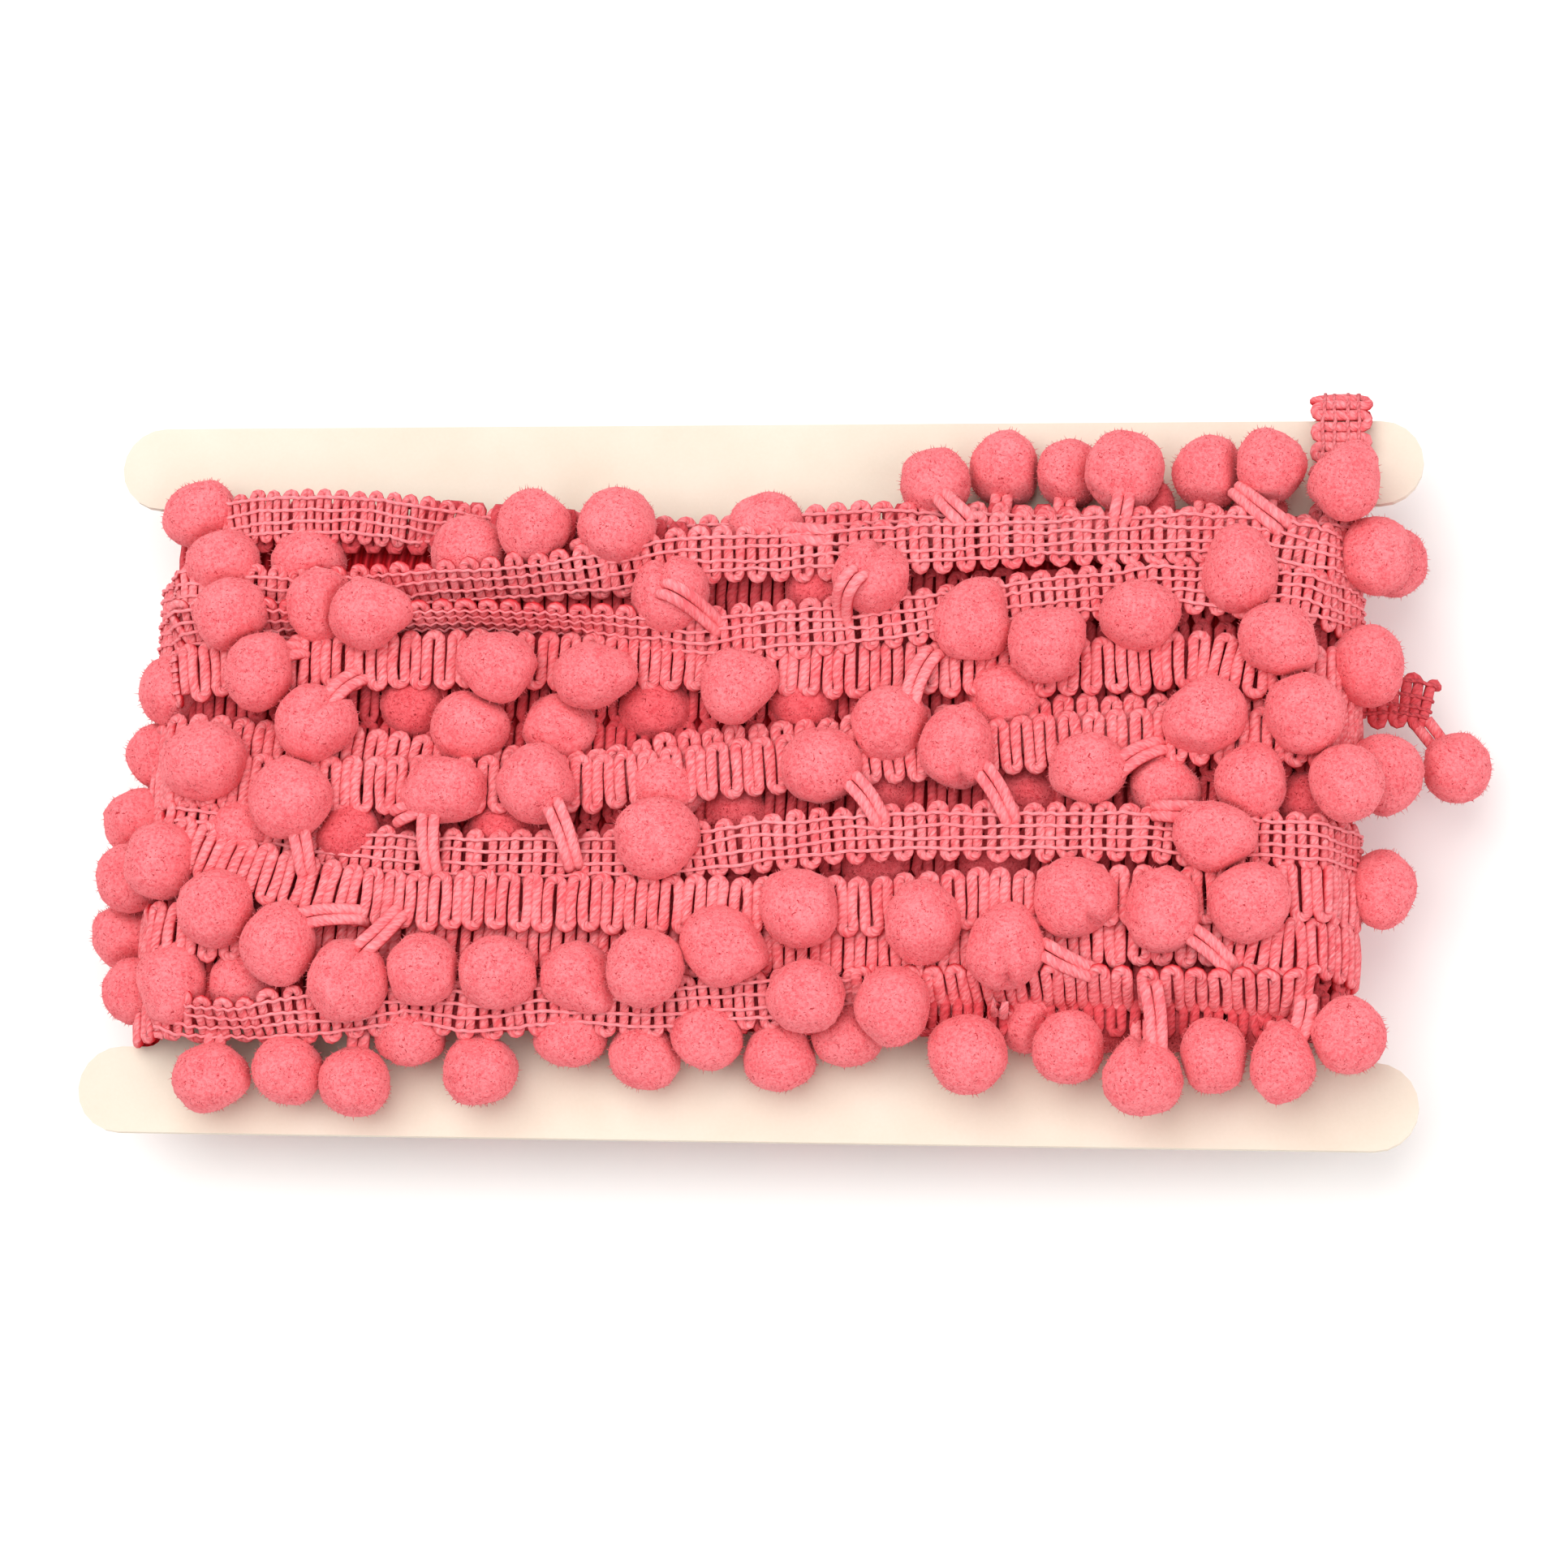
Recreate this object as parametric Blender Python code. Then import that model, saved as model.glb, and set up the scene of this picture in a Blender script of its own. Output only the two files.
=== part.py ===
"""Pompom fringe trim wound on a flat card, built lying on its back.

A zigzag braid with a pompom on a long loop every few centimetres is wound round the waist of an
I-shaped card. +X runs along the turns, +Y to the card's top edge, +Z out of its front face, and
the pompoms at the back touch the surface at z = 0. Lengths in the tables are millimetres.
"""
import math
import random
from collections import namedtuple

import bmesh
import bpy
from mathutils import Vector

MM = 0.001

# The card: an I-shape with rounded flange ends, and the slot the winding leaves round it.
CARD_HALF_WIDTH = 111.0
CARD_HALF_HEIGHT = 61.2
CARD_THICKNESS = 1.5
CARD_FRONT_Z = 21.75
CARD_BACK_Z = CARD_FRONT_Z - CARD_THICKNESS
FLANGE_END_RADIUS = 7.2
WAIST_HALF_WIDTH = 97.0
WAIST_FILLET = 2.6
SLOT_GAP = 0.4

# The braid.
BRAID_WIDTH = 9.7
BRAID_THICKNESS = 1.7
RIDGE_FOOT = 5.0
FOLD_HALF_WIDTH = 101.5
SHOULDER_DROP = 2.6
SHOULDER_HEIGHT = 6.2

# The packed inner turns, and where a loop over a flange comes out of them.
PACKED_EDGE = 42.6
PACKED_EDGE_LEVEL = 6.6

# A long loop's two yarns, drawn as one strand.
LOOP_WIDE = 2.8
LOOP_THICK = 1.8

# The loose ends: how far they stand off the card, and the pompom on the side one.
TAIL_CLEAR = 2.0
TAIL_TOP_X = 97.4
TAIL_BALL_SIZE = 11.8

# A pompom is no deeper than this, and one whose middle is past this y lies over a flange.
BALL_DEEPEST = 12.8
FLANGE_START = 44.0

# Heights of pompom middles over the card's front face.
TOP = 14.4
UPPER = 12.5
MID = 10.5
DEEP = 7.6
FLANGE = 7.3
SIDE = 0.0

# Faces that meet at less than this angle, in radians, are joined into one.
FLAT_ANGLE = 0.1

# A ball with few faces is drawn a little wide, so that its outline keeps its area.
FACET_SWELL = 1.035

# Places in the tables are read on a level 14 mm over the card, as seen from one eye point.
READ_HEIGHT = 14.0
EYE_X = 120.0
EYE_Y = -180.0
EYE_HEIGHT = 752.0

Ball = namedtuple("Ball", "x y height wide tall")
Run = namedtuple("Run", "name height wide tilt points")
Loop = namedtuple("Loop", "x0 y0 height0 x1 y1 height1")

# Pompoms that lie over the top flange.
TOP_FLANGE_BALLS = (
    Ball(31.5, 46.5, 8.5, 13.0, 12.5),
    Ball(43.0, 48.5, FLANGE, 13.0, 13.0),
    Ball(53.5, 48.0, FLANGE, 11.8, 12.0),
    Ball(62.5, 48.5, 8.8, 14.2, 14.0),
    Ball(76.5, 48.0, FLANGE, 13.0, 13.0),
    Ball(86.3, 49.0, FLANGE, 12.6, 12.6),
    Ball(98.5, 46.0, 11.4, 13.2, 13.0),
)

# Pompoms of the upper third of the winding.
UPPER_BALLS = (
    Ball(-92.5, 41.5, MID, 13.0, 12.5),
    Ball(-88.5, 32.5, MID, 13.0, 12.5),
    Ball(-86.0, 24.5, MID, 12.6, 12.4),
    Ball(-81.0, 14.2, TOP, 12.5, 14.4),
    Ball(-73.0, 32.5, TOP, 13.2, 13.0),
    Ball(-71.0, 25.5, UPPER, 12.6, 12.4),
    Ball(-62.5, 24.0, TOP, 13.4, 12.6),
    Ball(-73.5, 44.0, MID, 12.4, 12.0),
    Ball(-46.0, 35.0, TOP, 13.2, 13.0),
    Ball(-35.5, 39.5, TOP, 13.0, 12.8),
    Ball(-21.5, 39.5, TOP, 13.4, 13.0),
    Ball(4.0, 39.5, TOP, 13.2, 13.0),
    Ball(-12.0, 27.5, TOP, 13.4, 13.0),
    Ball(13.0, 28.0, MID, 12.4, 12.4),
    Ball(21.5, 30.5, TOP, 13.2, 13.4),
    Ball(38.5, 22.5, TOP, 13.2, 13.0),
    Ball(50.5, 19.0, TOP, 13.0, 13.4),
    Ball(65.5, 24.0, TOP, 13.4, 13.0),
    Ball(82.0, 31.5, TOP, 13.0, 13.8),
    Ball(88.0, 20.0, TOP, 13.2, 13.0),
)

# Pompoms of the middle third.
MIDDLE_BALLS = (
    Ball(-40.5, 15.3, TOP, 14.0, 12.4),
    Ball(-25.0, 13.6, TOP, 13.2, 12.0),
    Ball(0.0, 12.3, TOP, 12.8, 13.5),
    Ball(-14.0, 8.0, DEEP, 13.0, 11.4),
    Ball(11.0, 9.0, DEEP, 12.4, 11.6),
    Ball(-53.5, 8.0, DEEP, 12.4, 11.8),
    Ball(-44.5, 4.7, UPPER, 13.4, 13.0),
    Ball(-29.5, 4.9, MID, 12.8, 11.4),
    Ball(25.2, 5.8, TOP, 13.6, 12.8),
    Ball(44.3, 10.5, MID, 12.4, 11.4),
    Ball(76.6, 7.0, TOP, 14.4, 13.3),
    Ball(92.2, 7.8, TOP, 13.3, 14.0),
    Ball(-70.8, 5.8, TOP, 14.0, 13.0),
    Ball(-89.2, -0.9, TOP, 14.4, 13.0),
    Ball(-74.2, -7.6, 15.2, 14.4, 13.8),
    Ball(-81.7, -13.0, MID, 12.6, 12.0),
    Ball(-64.0, -13.4, DEEP, 12.4, 11.6),
    Ball(-48.1, -5.7, TOP, 14.6, 12.0),
    Ball(-32.8, -4.8, TOP, 13.4, 13.8),
    Ball(-38.0, -12.6, DEEP, 12.4, 11.4),
    Ball(-11.4, -5.7, UPPER, 12.8, 11.8),
    Ball(-12.4, -13.6, 15.6, 14.4, 13.8),
    Ball(14.2, -1.6, TOP, 13.2, 13.2),
    Ball(36.5, 1.8, TOP, 13.2, 14.6),
    Ball(57.6, -1.6, TOP, 13.3, 12.2),
    Ball(70.2, -5.0, MID, 12.0, 11.4),
    Ball(84.0, -3.6, TOP, 12.4, 13.4),
    Ball(99.4, -4.0, 12.6, 12.2, 13.6),
    Ball(78.0, -12.6, TOP, 14.3, 12.0),
)

# Pompoms of the lower third.
LOWER_BALLS = (
    Ball(-95.6, -18.0, MID, 12.8, 13.3),
    Ball(-85.6, -26.3, TOP, 13.4, 13.5),
    Ball(-74.4, -32.0, TOP, 13.2, 14.8),
    Ball(-92.0, -38.5, 9.0, 12.6, 14.4),
    Ball(-80.0, -38.5, DEEP, 12.6, 12.0),
    Ball(-62.8, -37.8, TOP, 13.6, 14.4),
    Ball(-50.2, -36.0, TOP, 12.6, 12.4),
    Ball(-37.8, -36.2, TOP, 13.6, 12.5),
    Ball(-24.2, -36.8, TOP, 13.0, 13.1),
    Ball(-13.6, -35.5, TOP, 13.3, 13.8),
    Ball(-0.5, -31.8, TOP, 13.8, 13.8),
    Ball(11.4, -25.2, 15.0, 14.0, 13.5),
    Ball(13.2, -39.7, 13.0, 13.2, 12.6),
    Ball(27.4, -41.2, 12.0, 12.6, 13.6),
    Ball(31.8, -27.5, TOP, 12.6, 14.0),
    Ball(45.4, -31.3, TOP, 13.3, 14.4),
    Ball(56.2, -23.3, 15.0, 13.8, 13.5),
    Ball(70.3, -25.0, TOP, 12.8, 14.0),
    Ball(84.0, -23.4, TOP, 13.8, 14.0),
)

# Pompoms that hang over the bottom flange.
BOTTOM_FLANGE_BALLS = (
    Ball(-84.4, -54.0, FLANGE, 12.8, 12.0),
    Ball(-72.0, -52.8, FLANGE, 12.0, 12.2),
    Ball(-60.3, -54.5, FLANGE, 12.2, 12.2),
    Ball(-51.5, -47.0, FLANGE, 12.2, 10.6),
    Ball(-40.0, -52.4, FLANGE, 12.8, 12.4),
    Ball(-25.2, -46.8, FLANGE, 12.4, 10.8),
    Ball(-12.8, -49.8, FLANGE, 12.6, 12.2),
    Ball(-2.6, -46.4, FLANGE, 12.4, 10.6),
    Ball(9.5, -49.6, FLANGE, 13.0, 12.4),
    Ball(20.0, -46.0, FLANGE, 12.4, 10.6),
    Ball(40.0, -48.7, 9.5, 13.0, 13.4),
    Ball(48.8, -43.6, 9.5, 12.2, 11.6),
    Ball(55.6, -47.3, FLANGE, 11.8, 12.4),
    Ball(67.8, -52.0, 10.0, 13.6, 12.9),
    Ball(78.8, -48.5, FLANGE, 12.2, 12.2),
    Ball(89.7, -49.6, 8.6, 12.2, 13.4),
    Ball(99.8, -45.2, 9.4, 12.0, 13.0),
)

# Pompoms that hang off the folds at the two sides.
SIDE_BALLS = (
    Ball(-90.5, 21.5, 3.0, 12.6, 12.4),
    Ball(-95.0, 11.0, 3.0, 12.8, 13.0),
    Ball(-96.5, -0.5, SIDE, 12.8, 12.6),
    Ball(-99.0, -11.5, SIDE, 13.0, 12.6),
    Ball(-100.2, -21.0, 1.0, 13.0, 12.6),
    Ball(-99.8, -30.5, -1.0, 13.0, 12.6),
    Ball(-98.0, -40.0, SIDE, 13.0, 12.8),
    Ball(105.0, 34.0, 4.5, 12.6, 13.2),
    Ball(107.0, 32.6, -4.0, 12.0, 12.4),
    Ball(102.4, 15.5, 5.0, 12.4, 13.8),
    Ball(105.0, -2.5, 2.0, 13.0, 13.2),
    Ball(105.2, -21.3, SIDE, 11.4, 13.2),
)

# Outer turns of the braid across the front, from the top down, left end first.
FRONT_RUNS = (
    Run("top turn", 11.0, BRAID_WIDTH, 6.0,
        ((-97, 40.5), (-75, 41.2), (-55, 40.3), (-20, 39.6), (20, 39.6), (60, 41.2), (98, 40.6))),
    Run("high mesh turn", 14.2, BRAID_WIDTH, 4.0,
        ((-97, 29.0), (-60, 28.0), (-40, 29.2), (-22, 32.0), (-8, 34.0), (20, 35.5), (42, 37.0),
         (80, 37.4), (98, 34.8))),
    Run("twisted turn", 13.4, 8.4, 0.0,
        ((-97, 22.0), (-57, 23.5), (-35, 23.6), (-10, 20.4), (20, 22.6), (45, 26.2), (70, 28.8),
         (98, 26.4))),
    Run("upper ribbed turn", 12.2, BRAID_WIDTH, 0.0,
        ((-97, 13.6), (-74, 15.8), (-50, 16.4), (-10, 16.0), (15, 15.0), (58, 15.4), (78, 16.2),
         (98, 14.2))),
    Run("sunk turn", 10.6, BRAID_WIDTH, 0.0,
        ((-97, 4.0), (-62, 1.8), (-26, -2.6), (0, 1.0), (30, 3.4), (66, 6.0), (98, 6.4))),
    Run("middle ribbed turn", 12.6, BRAID_WIDTH, 0.0,
        ((-97, -4.4), (-68, -5.0), (-22, -4.4), (0, -2.0), (43, 1.8), (66, 3.6), (98, 3.0))),
    Run("wide mesh turn", 14.0, BRAID_WIDTH, 0.0,
        ((-97, -12.4), (-60, -16.6), (-20, -16.8), (2, -14.8), (22, -12.9), (60, -12.6), (98, -13.6))),
    Run("long ribbed turn", 13.6, BRAID_WIDTH, 0.0,
        ((-97, -15.4), (-86, -17.6), (-74, -21.4), (-60, -23.9), (-20, -24.4), (20, -24.6),
         (50, -23.0), (98, -21.8))),
    Run("lower ribbed turn", 11.6, BRAID_WIDTH, 0.0,
        ((-99, -29.6), (-70, -30.2), (-30, -31.4), (22, -31.4), (62, -29.6), (98, -31.0))),
    Run("bottom turn", 10.2, BRAID_WIDTH, -14.0,
        ((-97, -42.6), (-65, -43.0), (-30, -41.8), (0, -40.8), (30, -39.0), (60, -38.2), (98, -38.2))),
)

# Long loops that carry the pompoms, where they show between the turns.
LOOPS = (
    Loop(-12.0, 25.0, 13.5, -5.0, 20.5, 13.5),
    Loop(18.0, 28.0, 13.5, 18.0, 23.0, 13.5),
    Loop(32.0, 16.0, 13.0, 28.0, 8.0, 14.0),
    Loop(-64.0, 12.5, 12.5, -69.0, 8.0, 14.0),
    Loop(-72.5, -12.0, 14.0, -71.0, -20.0, 13.5),
    Loop(-50.0, -8.0, 13.5, -49.0, -19.0, 13.5),
    Loop(-29.0, -7.0, 14.0, -27.0, -18.0, 13.5),
    Loop(17.0, -5.0, 14.0, 23.0, -11.0, 14.0),
    Loop(39.0, -1.0, 14.0, 46.0, -11.0, 14.0),
    Loop(62.0, -3.0, 13.5, 69.0, 2.0, 12.8),
    Loop(-61.0, -34.0, 14.5, -56.0, -26.0, 13.8),
    Loop(-74.0, -29.0, 14.0, -62.0, -27.0, 13.5),
    Loop(46.0, -35.0, 12.0, 43.0, -45.0, 10.0),
    Loop(50.0, -30.5, 13.0, 58.0, -34.5, 11.0),
    Loop(73.0, -28.0, 13.0, 81.0, -34.5, 11.5),
    Loop(68.6, -39.0, 9.8, 69.4, -49.0, 10.0),
    Loop(92.0, -39.0, 9.0, 91.0, -47.0, 8.6),
    Loop(97.5, 38.0, 10.5, 98.0, 44.0, 10.9),
)

# The back of the winding follows a rule: rows of pompoms on the packed turns.
BACK_ROW_STEP = 18.0
BACK_BALL_STEP = 29.0
BACK_FLANGE_STEP = 30.0
BACK_REST_MIDDLE = 5.6
BACK_RAISED_MIDDLE = 8.4
BACK_FLANGE_MIDDLE = CARD_BACK_Z - 7.2
BACK_BALL_SIZE = 12.8
BACK_FLANGE_BALL_SIZE = 12.2

COLLECTION = "pompom fringe trim"


def fresh_scene():
    """Remove every object and return the collections for the part and its cutters."""
    for item in list(bpy.data.objects):
        bpy.data.objects.remove(item, do_unlink=True)
    part = bpy.data.collections.new(COLLECTION)
    pieces = bpy.data.collections.new("trim pieces")
    cutters = bpy.data.collections.new("card room")
    for group in (part, pieces, cutters):
        bpy.context.scene.collection.children.link(group)
    pieces.hide_render = True
    cutters.hide_render = True
    return part, pieces, cutters


def material(name, colour, roughness):
    """A plain Principled material of one colour."""
    made = bpy.data.materials.new(name)
    made.use_nodes = True
    shader = made.node_tree.nodes["Principled BSDF"]
    shader.inputs["Base Color"].default_value = (*colour, 1.0)
    shader.inputs["Roughness"].default_value = roughness
    made.diffuse_color = (*colour, 1.0)
    return made


def mesh_object(name, points, faces, group):
    """An object from points in millimetres and faces by index, with its faces turned outward."""
    mesh = bpy.data.meshes.new(name)
    shape = bmesh.new()
    corners = [shape.verts.new(Vector(point) * MM) for point in points]
    for face in faces:
        shape.faces.new([corners[index] for index in face])
    bmesh.ops.recalc_face_normals(shape, faces=shape.faces)
    bmesh.ops.triangulate(shape, faces=shape.faces)
    shape.to_mesh(mesh)
    shape.free()
    made = bpy.data.objects.new(name, mesh)
    group.objects.link(made)
    return made


def sighted(x, y, height):
    """Move a place read on the reading level along its line of sight to its own height."""
    share = (READ_HEIGHT - height) / (EYE_HEIGHT - READ_HEIGHT)
    return x - (EYE_X - x) * share, y - (EYE_Y - y) * share


def card_outline(grow):
    """The I-shaped outline of the card, pushed outward by grow."""
    end_x = CARD_HALF_WIDTH - FLANGE_END_RADIUS
    end_y = CARD_HALF_HEIGHT - FLANGE_END_RADIUS
    inner_y = end_y - FLANGE_END_RADIUS
    quarter = []
    for step in range(11):
        turn = math.radians(90 - 18 * step)
        reach = FLANGE_END_RADIUS + grow
        quarter.append((end_x + reach * math.cos(turn), end_y + reach * math.sin(turn)))
    fillet_x = WAIST_HALF_WIDTH + WAIST_FILLET
    fillet_y = inner_y - WAIST_FILLET
    for step in range(5):
        turn = math.radians(90 + 22.5 * step)
        reach = WAIST_FILLET - grow
        quarter.append((fillet_x + reach * math.cos(turn), fillet_y + reach * math.sin(turn)))
    right = quarter + [(x, -y) for x, y in reversed(quarter)]
    return right + [(-x, -y) for x, y in right]


def prism(name, outline, z_low, z_high, group):
    """A flat plate with the given outline."""
    count = len(outline)
    points = [(x, y, z_low) for x, y in outline] + [(x, y, z_high) for x, y in outline]
    faces = [tuple(range(count)), tuple(range(count, 2 * count))]
    for index in range(count):
        after = (index + 1) % count
        faces.append((index, after, count + after, count + index))
    return mesh_object(name, points, faces, group)


def loft(name, rings, group):
    """A closed body through rings of equal length, capped at both ends."""
    count = len(rings[0])
    points = [point for ring in rings for point in ring]
    faces = [tuple(range(count)), tuple(range(len(points) - count, len(points)))]
    for row in range(len(rings) - 1):
        for index in range(count):
            after = (index + 1) % count
            low = row * count
            high = low + count
            faces.append((low + index, low + after, high + after, high + index))
    return mesh_object(name, points, faces, group)


def core(group):
    """The packed inner turns: a flat tube round the card's waist, thinner toward its two ends."""
    front = ((101.5, -0.75), (100.4, 3.4), (97.0, 6.6), (88.0, 8.6), (45.0, 9.4), (0.0, 9.5))
    middle = -CARD_THICKNESS / 2
    half = list(front) + [(-x, height) for x, height in reversed(front[:-1])]
    back = [(x, 2 * middle - height) for x, height in reversed(half[1:-1])]
    section = half + back
    rings = []
    for y, share in ((-44.6, 0.72), (-42.0, 0.94), (0.0, 1.0), (42.0, 0.94), (44.6, 0.72)):
        ring = []
        for x, height in section:
            level = middle + (height - middle) * share
            ring.append((x, y, CARD_FRONT_Z + level))
        rings.append(ring)
    return loft("wound_trim", rings, group)


def ball(name, middle, half_sizes, turn, rows, group, floor=False):
    """A pompom with seven faces round and a few rows; a floor one gets a flat foot at z = 0."""
    sides = 7
    half_x, half_y, half_z = (size * FACET_SWELL for size in half_sizes)
    points = [(middle[0], middle[1], middle[2] + half_z)]
    for row in range(1, rows):
        lean = math.pi * row / rows
        for side in range(sides):
            round_turn = turn + 2 * math.pi * side / sides
            x = middle[0] + half_x * math.sin(lean) * math.cos(round_turn)
            y = middle[1] + half_y * math.sin(lean) * math.sin(round_turn)
            z = middle[2] + half_z * math.cos(lean)
            if floor and row == rows - 1:
                z = 0.0
            points.append((x, y, z))
    if not floor:
        points.append((middle[0], middle[1], middle[2] - half_z))
    faces = [(0, 1 + side, 1 + (side + 1) % sides) for side in range(sides)]
    for row in range(rows - 2):
        low = 1 + row * sides
        for side in range(sides):
            after = (side + 1) % sides
            faces.append((low + side, low + after, low + sides + after, low + sides + side))
    last = 1 + (rows - 2) * sides
    if floor:
        faces.append(tuple(last + side for side in range(sides)))
    else:
        end = len(points) - 1
        faces += [(last + side, last + (side + 1) % sides, end) for side in range(sides)]
    return mesh_object(name, points, faces, group)


def front_balls(group, luck):
    """All pompoms that are placed one by one."""
    tables = (TOP_FLANGE_BALLS, UPPER_BALLS, MIDDLE_BALLS, LOWER_BALLS, BOTTOM_FLANGE_BALLS,
              SIDE_BALLS)
    count = 0
    for table in tables:
        for row in table:
            x, y = sighted(row.x, row.y, row.height)
            depth = min(row.wide, row.tall, BALL_DEEPEST)
            sizes = (row.wide / 2, row.tall / 2, depth / 2)
            rows = 5 if row.height >= UPPER else 4
            place = (x, y, CARD_FRONT_Z + row.height)
            ball("pompom %d" % count, place, sizes, luck.uniform(0, math.pi), rows, group)
            if abs(y) > FLANGE_START:
                stem("stem %d" % count, place, group)
            count += 1


def back_balls(group, luck):
    """Rows of pompoms at the back; the one at the middle has its flat foot at the origin."""
    size = BACK_BALL_SIZE / 2
    small = BACK_FLANGE_BALL_SIZE / 2
    count = 0
    for row in range(-2, 3):
        shift = BACK_BALL_STEP / 2 if row % 2 else 0.0
        for column in range(-4, 4):
            x = column * BACK_BALL_STEP + shift
            if abs(x) > 86:
                continue
            middle = row == 0 and column == 0
            corner = abs(row) == 2 and abs(x) > 60
            floor = middle or corner or (column + row) % 2 == 0
            y = row * BACK_ROW_STEP
            if not middle:
                x += luck.uniform(-2.5, 2.5)
                y += luck.uniform(-1.5, 1.5)
            z = BACK_REST_MIDDLE if floor else BACK_RAISED_MIDDLE + luck.uniform(-1, 1)
            turn = 0.0 if middle else luck.uniform(0, math.pi)
            ball("back pompom %d" % count, (x, y, z), (size, size, size), turn, 4, group, floor)
            count += 1
    for side in (-1, 1):
        for column in range(-3, 3):
            x = (column + 0.5) * BACK_FLANGE_STEP + side * 5.0 + luck.uniform(-4, 4)
            y = side * (48.5 + luck.uniform(-2, 3))
            place = (x, y, BACK_FLANGE_MIDDLE)
            ball("back pompom %d" % count, place, (small, small, small), luck.uniform(0, 3), 4,
                 group)
            stem("back stem %d" % count, place, group)
            count += 1


def ridge(name, line, wide, tilt, foot, group):
    """One outer turn: a four-sided bar from its own face down into the packed turns."""
    lean = math.radians(tilt)
    rings = []
    for index, (x, y, z) in enumerate(line):
        before = line[max(index - 1, 0)]
        after = line[min(index + 1, len(line) - 1)]
        along = Vector((after[0] - before[0], after[1] - before[1], 0.0)).normalized()
        across = Vector((-along.y, along.x, 0.0)) * (wide / 2 * math.cos(lean))
        rise = wide / 2 * math.sin(lean)
        middle = Vector((x, y, 0.0))
        high = middle + across
        low = middle - across
        rings.append(((low.x, low.y, z - rise), (high.x, high.y, z + rise),
                      (high.x, high.y, foot), (low.x, low.y, foot)))
    return loft(name, rings, group)


def front_runs(group):
    """The outer turns across the front, each bent down to the fold at its two ends."""
    for run in FRONT_RUNS:
        line = []
        for x, y in run.points:
            place = sighted(x, y, run.height)
            drop = SHOULDER_DROP if abs(x) > 90 else 0.0
            line.append((place[0], place[1], CARD_FRONT_Z + run.height - drop))
        left = (-FOLD_HALF_WIDTH + 0.7, line[0][1], CARD_FRONT_Z + SHOULDER_HEIGHT)
        right = (FOLD_HALF_WIDTH - 0.7, line[-1][1], CARD_FRONT_Z + SHOULDER_HEIGHT)
        line = [left] + line + [right]
        ridge(run.name, line, run.wide, run.tilt, CARD_FRONT_Z + RIDGE_FOOT, group)


def strand(name, start, end, wide, thick, group):
    """A four-sided strand between two places."""
    along = (Vector(end) - Vector(start)).normalized()
    across = along.cross(Vector((0, 0, 1))).normalized() * (wide / 2)
    up = across.cross(along).normalized() * (thick / 2)
    rings = []
    for place in (Vector(start), Vector(end)):
        rings.append([tuple(place + across + up), tuple(place - across + up),
                      tuple(place - across - up), tuple(place + across - up)])
    return loft(name, rings, group)


def loops(group):
    """The long loops, each drawn as one strand from its turn into its pompom."""
    for count, loop in enumerate(LOOPS):
        x0, y0 = sighted(loop.x0, loop.y0, loop.height0)
        x1, y1 = sighted(loop.x1, loop.y1, loop.height1)
        start = (x0, y0, CARD_FRONT_Z + loop.height0)
        end = (x1, y1, CARD_FRONT_Z + loop.height1)
        strand("loop %d" % count, start, end, LOOP_WIDE, LOOP_THICK, group)


def stem(name, place, group):
    """A short strand from a pompom over a flange to the edge of the packed turns."""
    x, y, z = place
    edge = math.copysign(PACKED_EDGE, y)
    middle = (CARD_FRONT_Z + CARD_BACK_Z) / 2
    level = middle + math.copysign(PACKED_EDGE_LEVEL, z - middle)
    strand(name, (x, y, z), (x * 0.99, edge, level), LOOP_WIDE, LOOP_THICK, group)


def joined_outside(body):
    """Replace a body by its joined mesh, less any closed hollow inside it."""
    graph = bpy.context.evaluated_depsgraph_get()
    mesh = bpy.data.meshes.new_from_object(body.evaluated_get(graph))
    shape = bmesh.new()
    shape.from_mesh(mesh)
    bmesh.ops.remove_doubles(shape, verts=shape.verts, dist=0.000001)
    left = set(shape.verts)
    shells = []
    while left:
        shell = {left.pop()}
        front = list(shell)
        while front:
            corner = front.pop()
            for edge in corner.link_edges:
                other = edge.other_vert(corner)
                if other in left:
                    left.remove(other)
                    shell.add(other)
                    front.append(other)
        shells.append(shell)
    shells.sort(key=len)
    inner = [corner for shell in shells[:-1] for corner in shell]
    bmesh.ops.delete(shape, geom=inner, context='VERTS')
    bmesh.ops.dissolve_limit(shape, angle_limit=FLAT_ANGLE, verts=shape.verts, edges=shape.edges)
    bmesh.ops.triangulate(shape, faces=shape.faces)
    shape.to_mesh(mesh)
    shape.free()
    body.modifiers.clear()
    body.data = mesh


def wound_trim(part, pieces, cutters):
    """The wound trim as one solid, with room round the card that runs through it."""
    luck = random.Random(29)
    body = core(part)
    front_runs(pieces)
    front_balls(pieces, luck)
    back_balls(pieces, luck)
    loops(pieces)
    room = prism("card room", card_outline(SLOT_GAP), CARD_BACK_Z - SLOT_GAP,
                 CARD_FRONT_Z + SLOT_GAP, cutters)
    for item in list(pieces.objects) + [room]:
        item.hide_render = True
        item.display_type = 'WIRE'
    join = body.modifiers.new("join pieces", 'BOOLEAN')
    join.operation = 'UNION'
    join.solver = 'EXACT'
    join.operand_type = 'COLLECTION'
    join.collection = pieces
    joined_outside(body)
    slot = body.modifiers.new("card slot", 'BOOLEAN')
    slot.operation = 'DIFFERENCE'
    slot.solver = 'EXACT'
    slot.object = room
    return body


def strip(name, line, wide, thick, group):
    """A flat strip of braid along places given as (place, direction across, direction up)."""
    rings = []
    for place, across, up in line:
        middle = Vector(place)
        side = Vector(across).normalized() * (wide / 2)
        lift = Vector(up).normalized() * (thick / 2)
        rings.append([tuple(middle + side + lift), tuple(middle - side + lift),
                      tuple(middle - side - lift), tuple(middle + side - lift)])
    return loft(name, rings, group)


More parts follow.
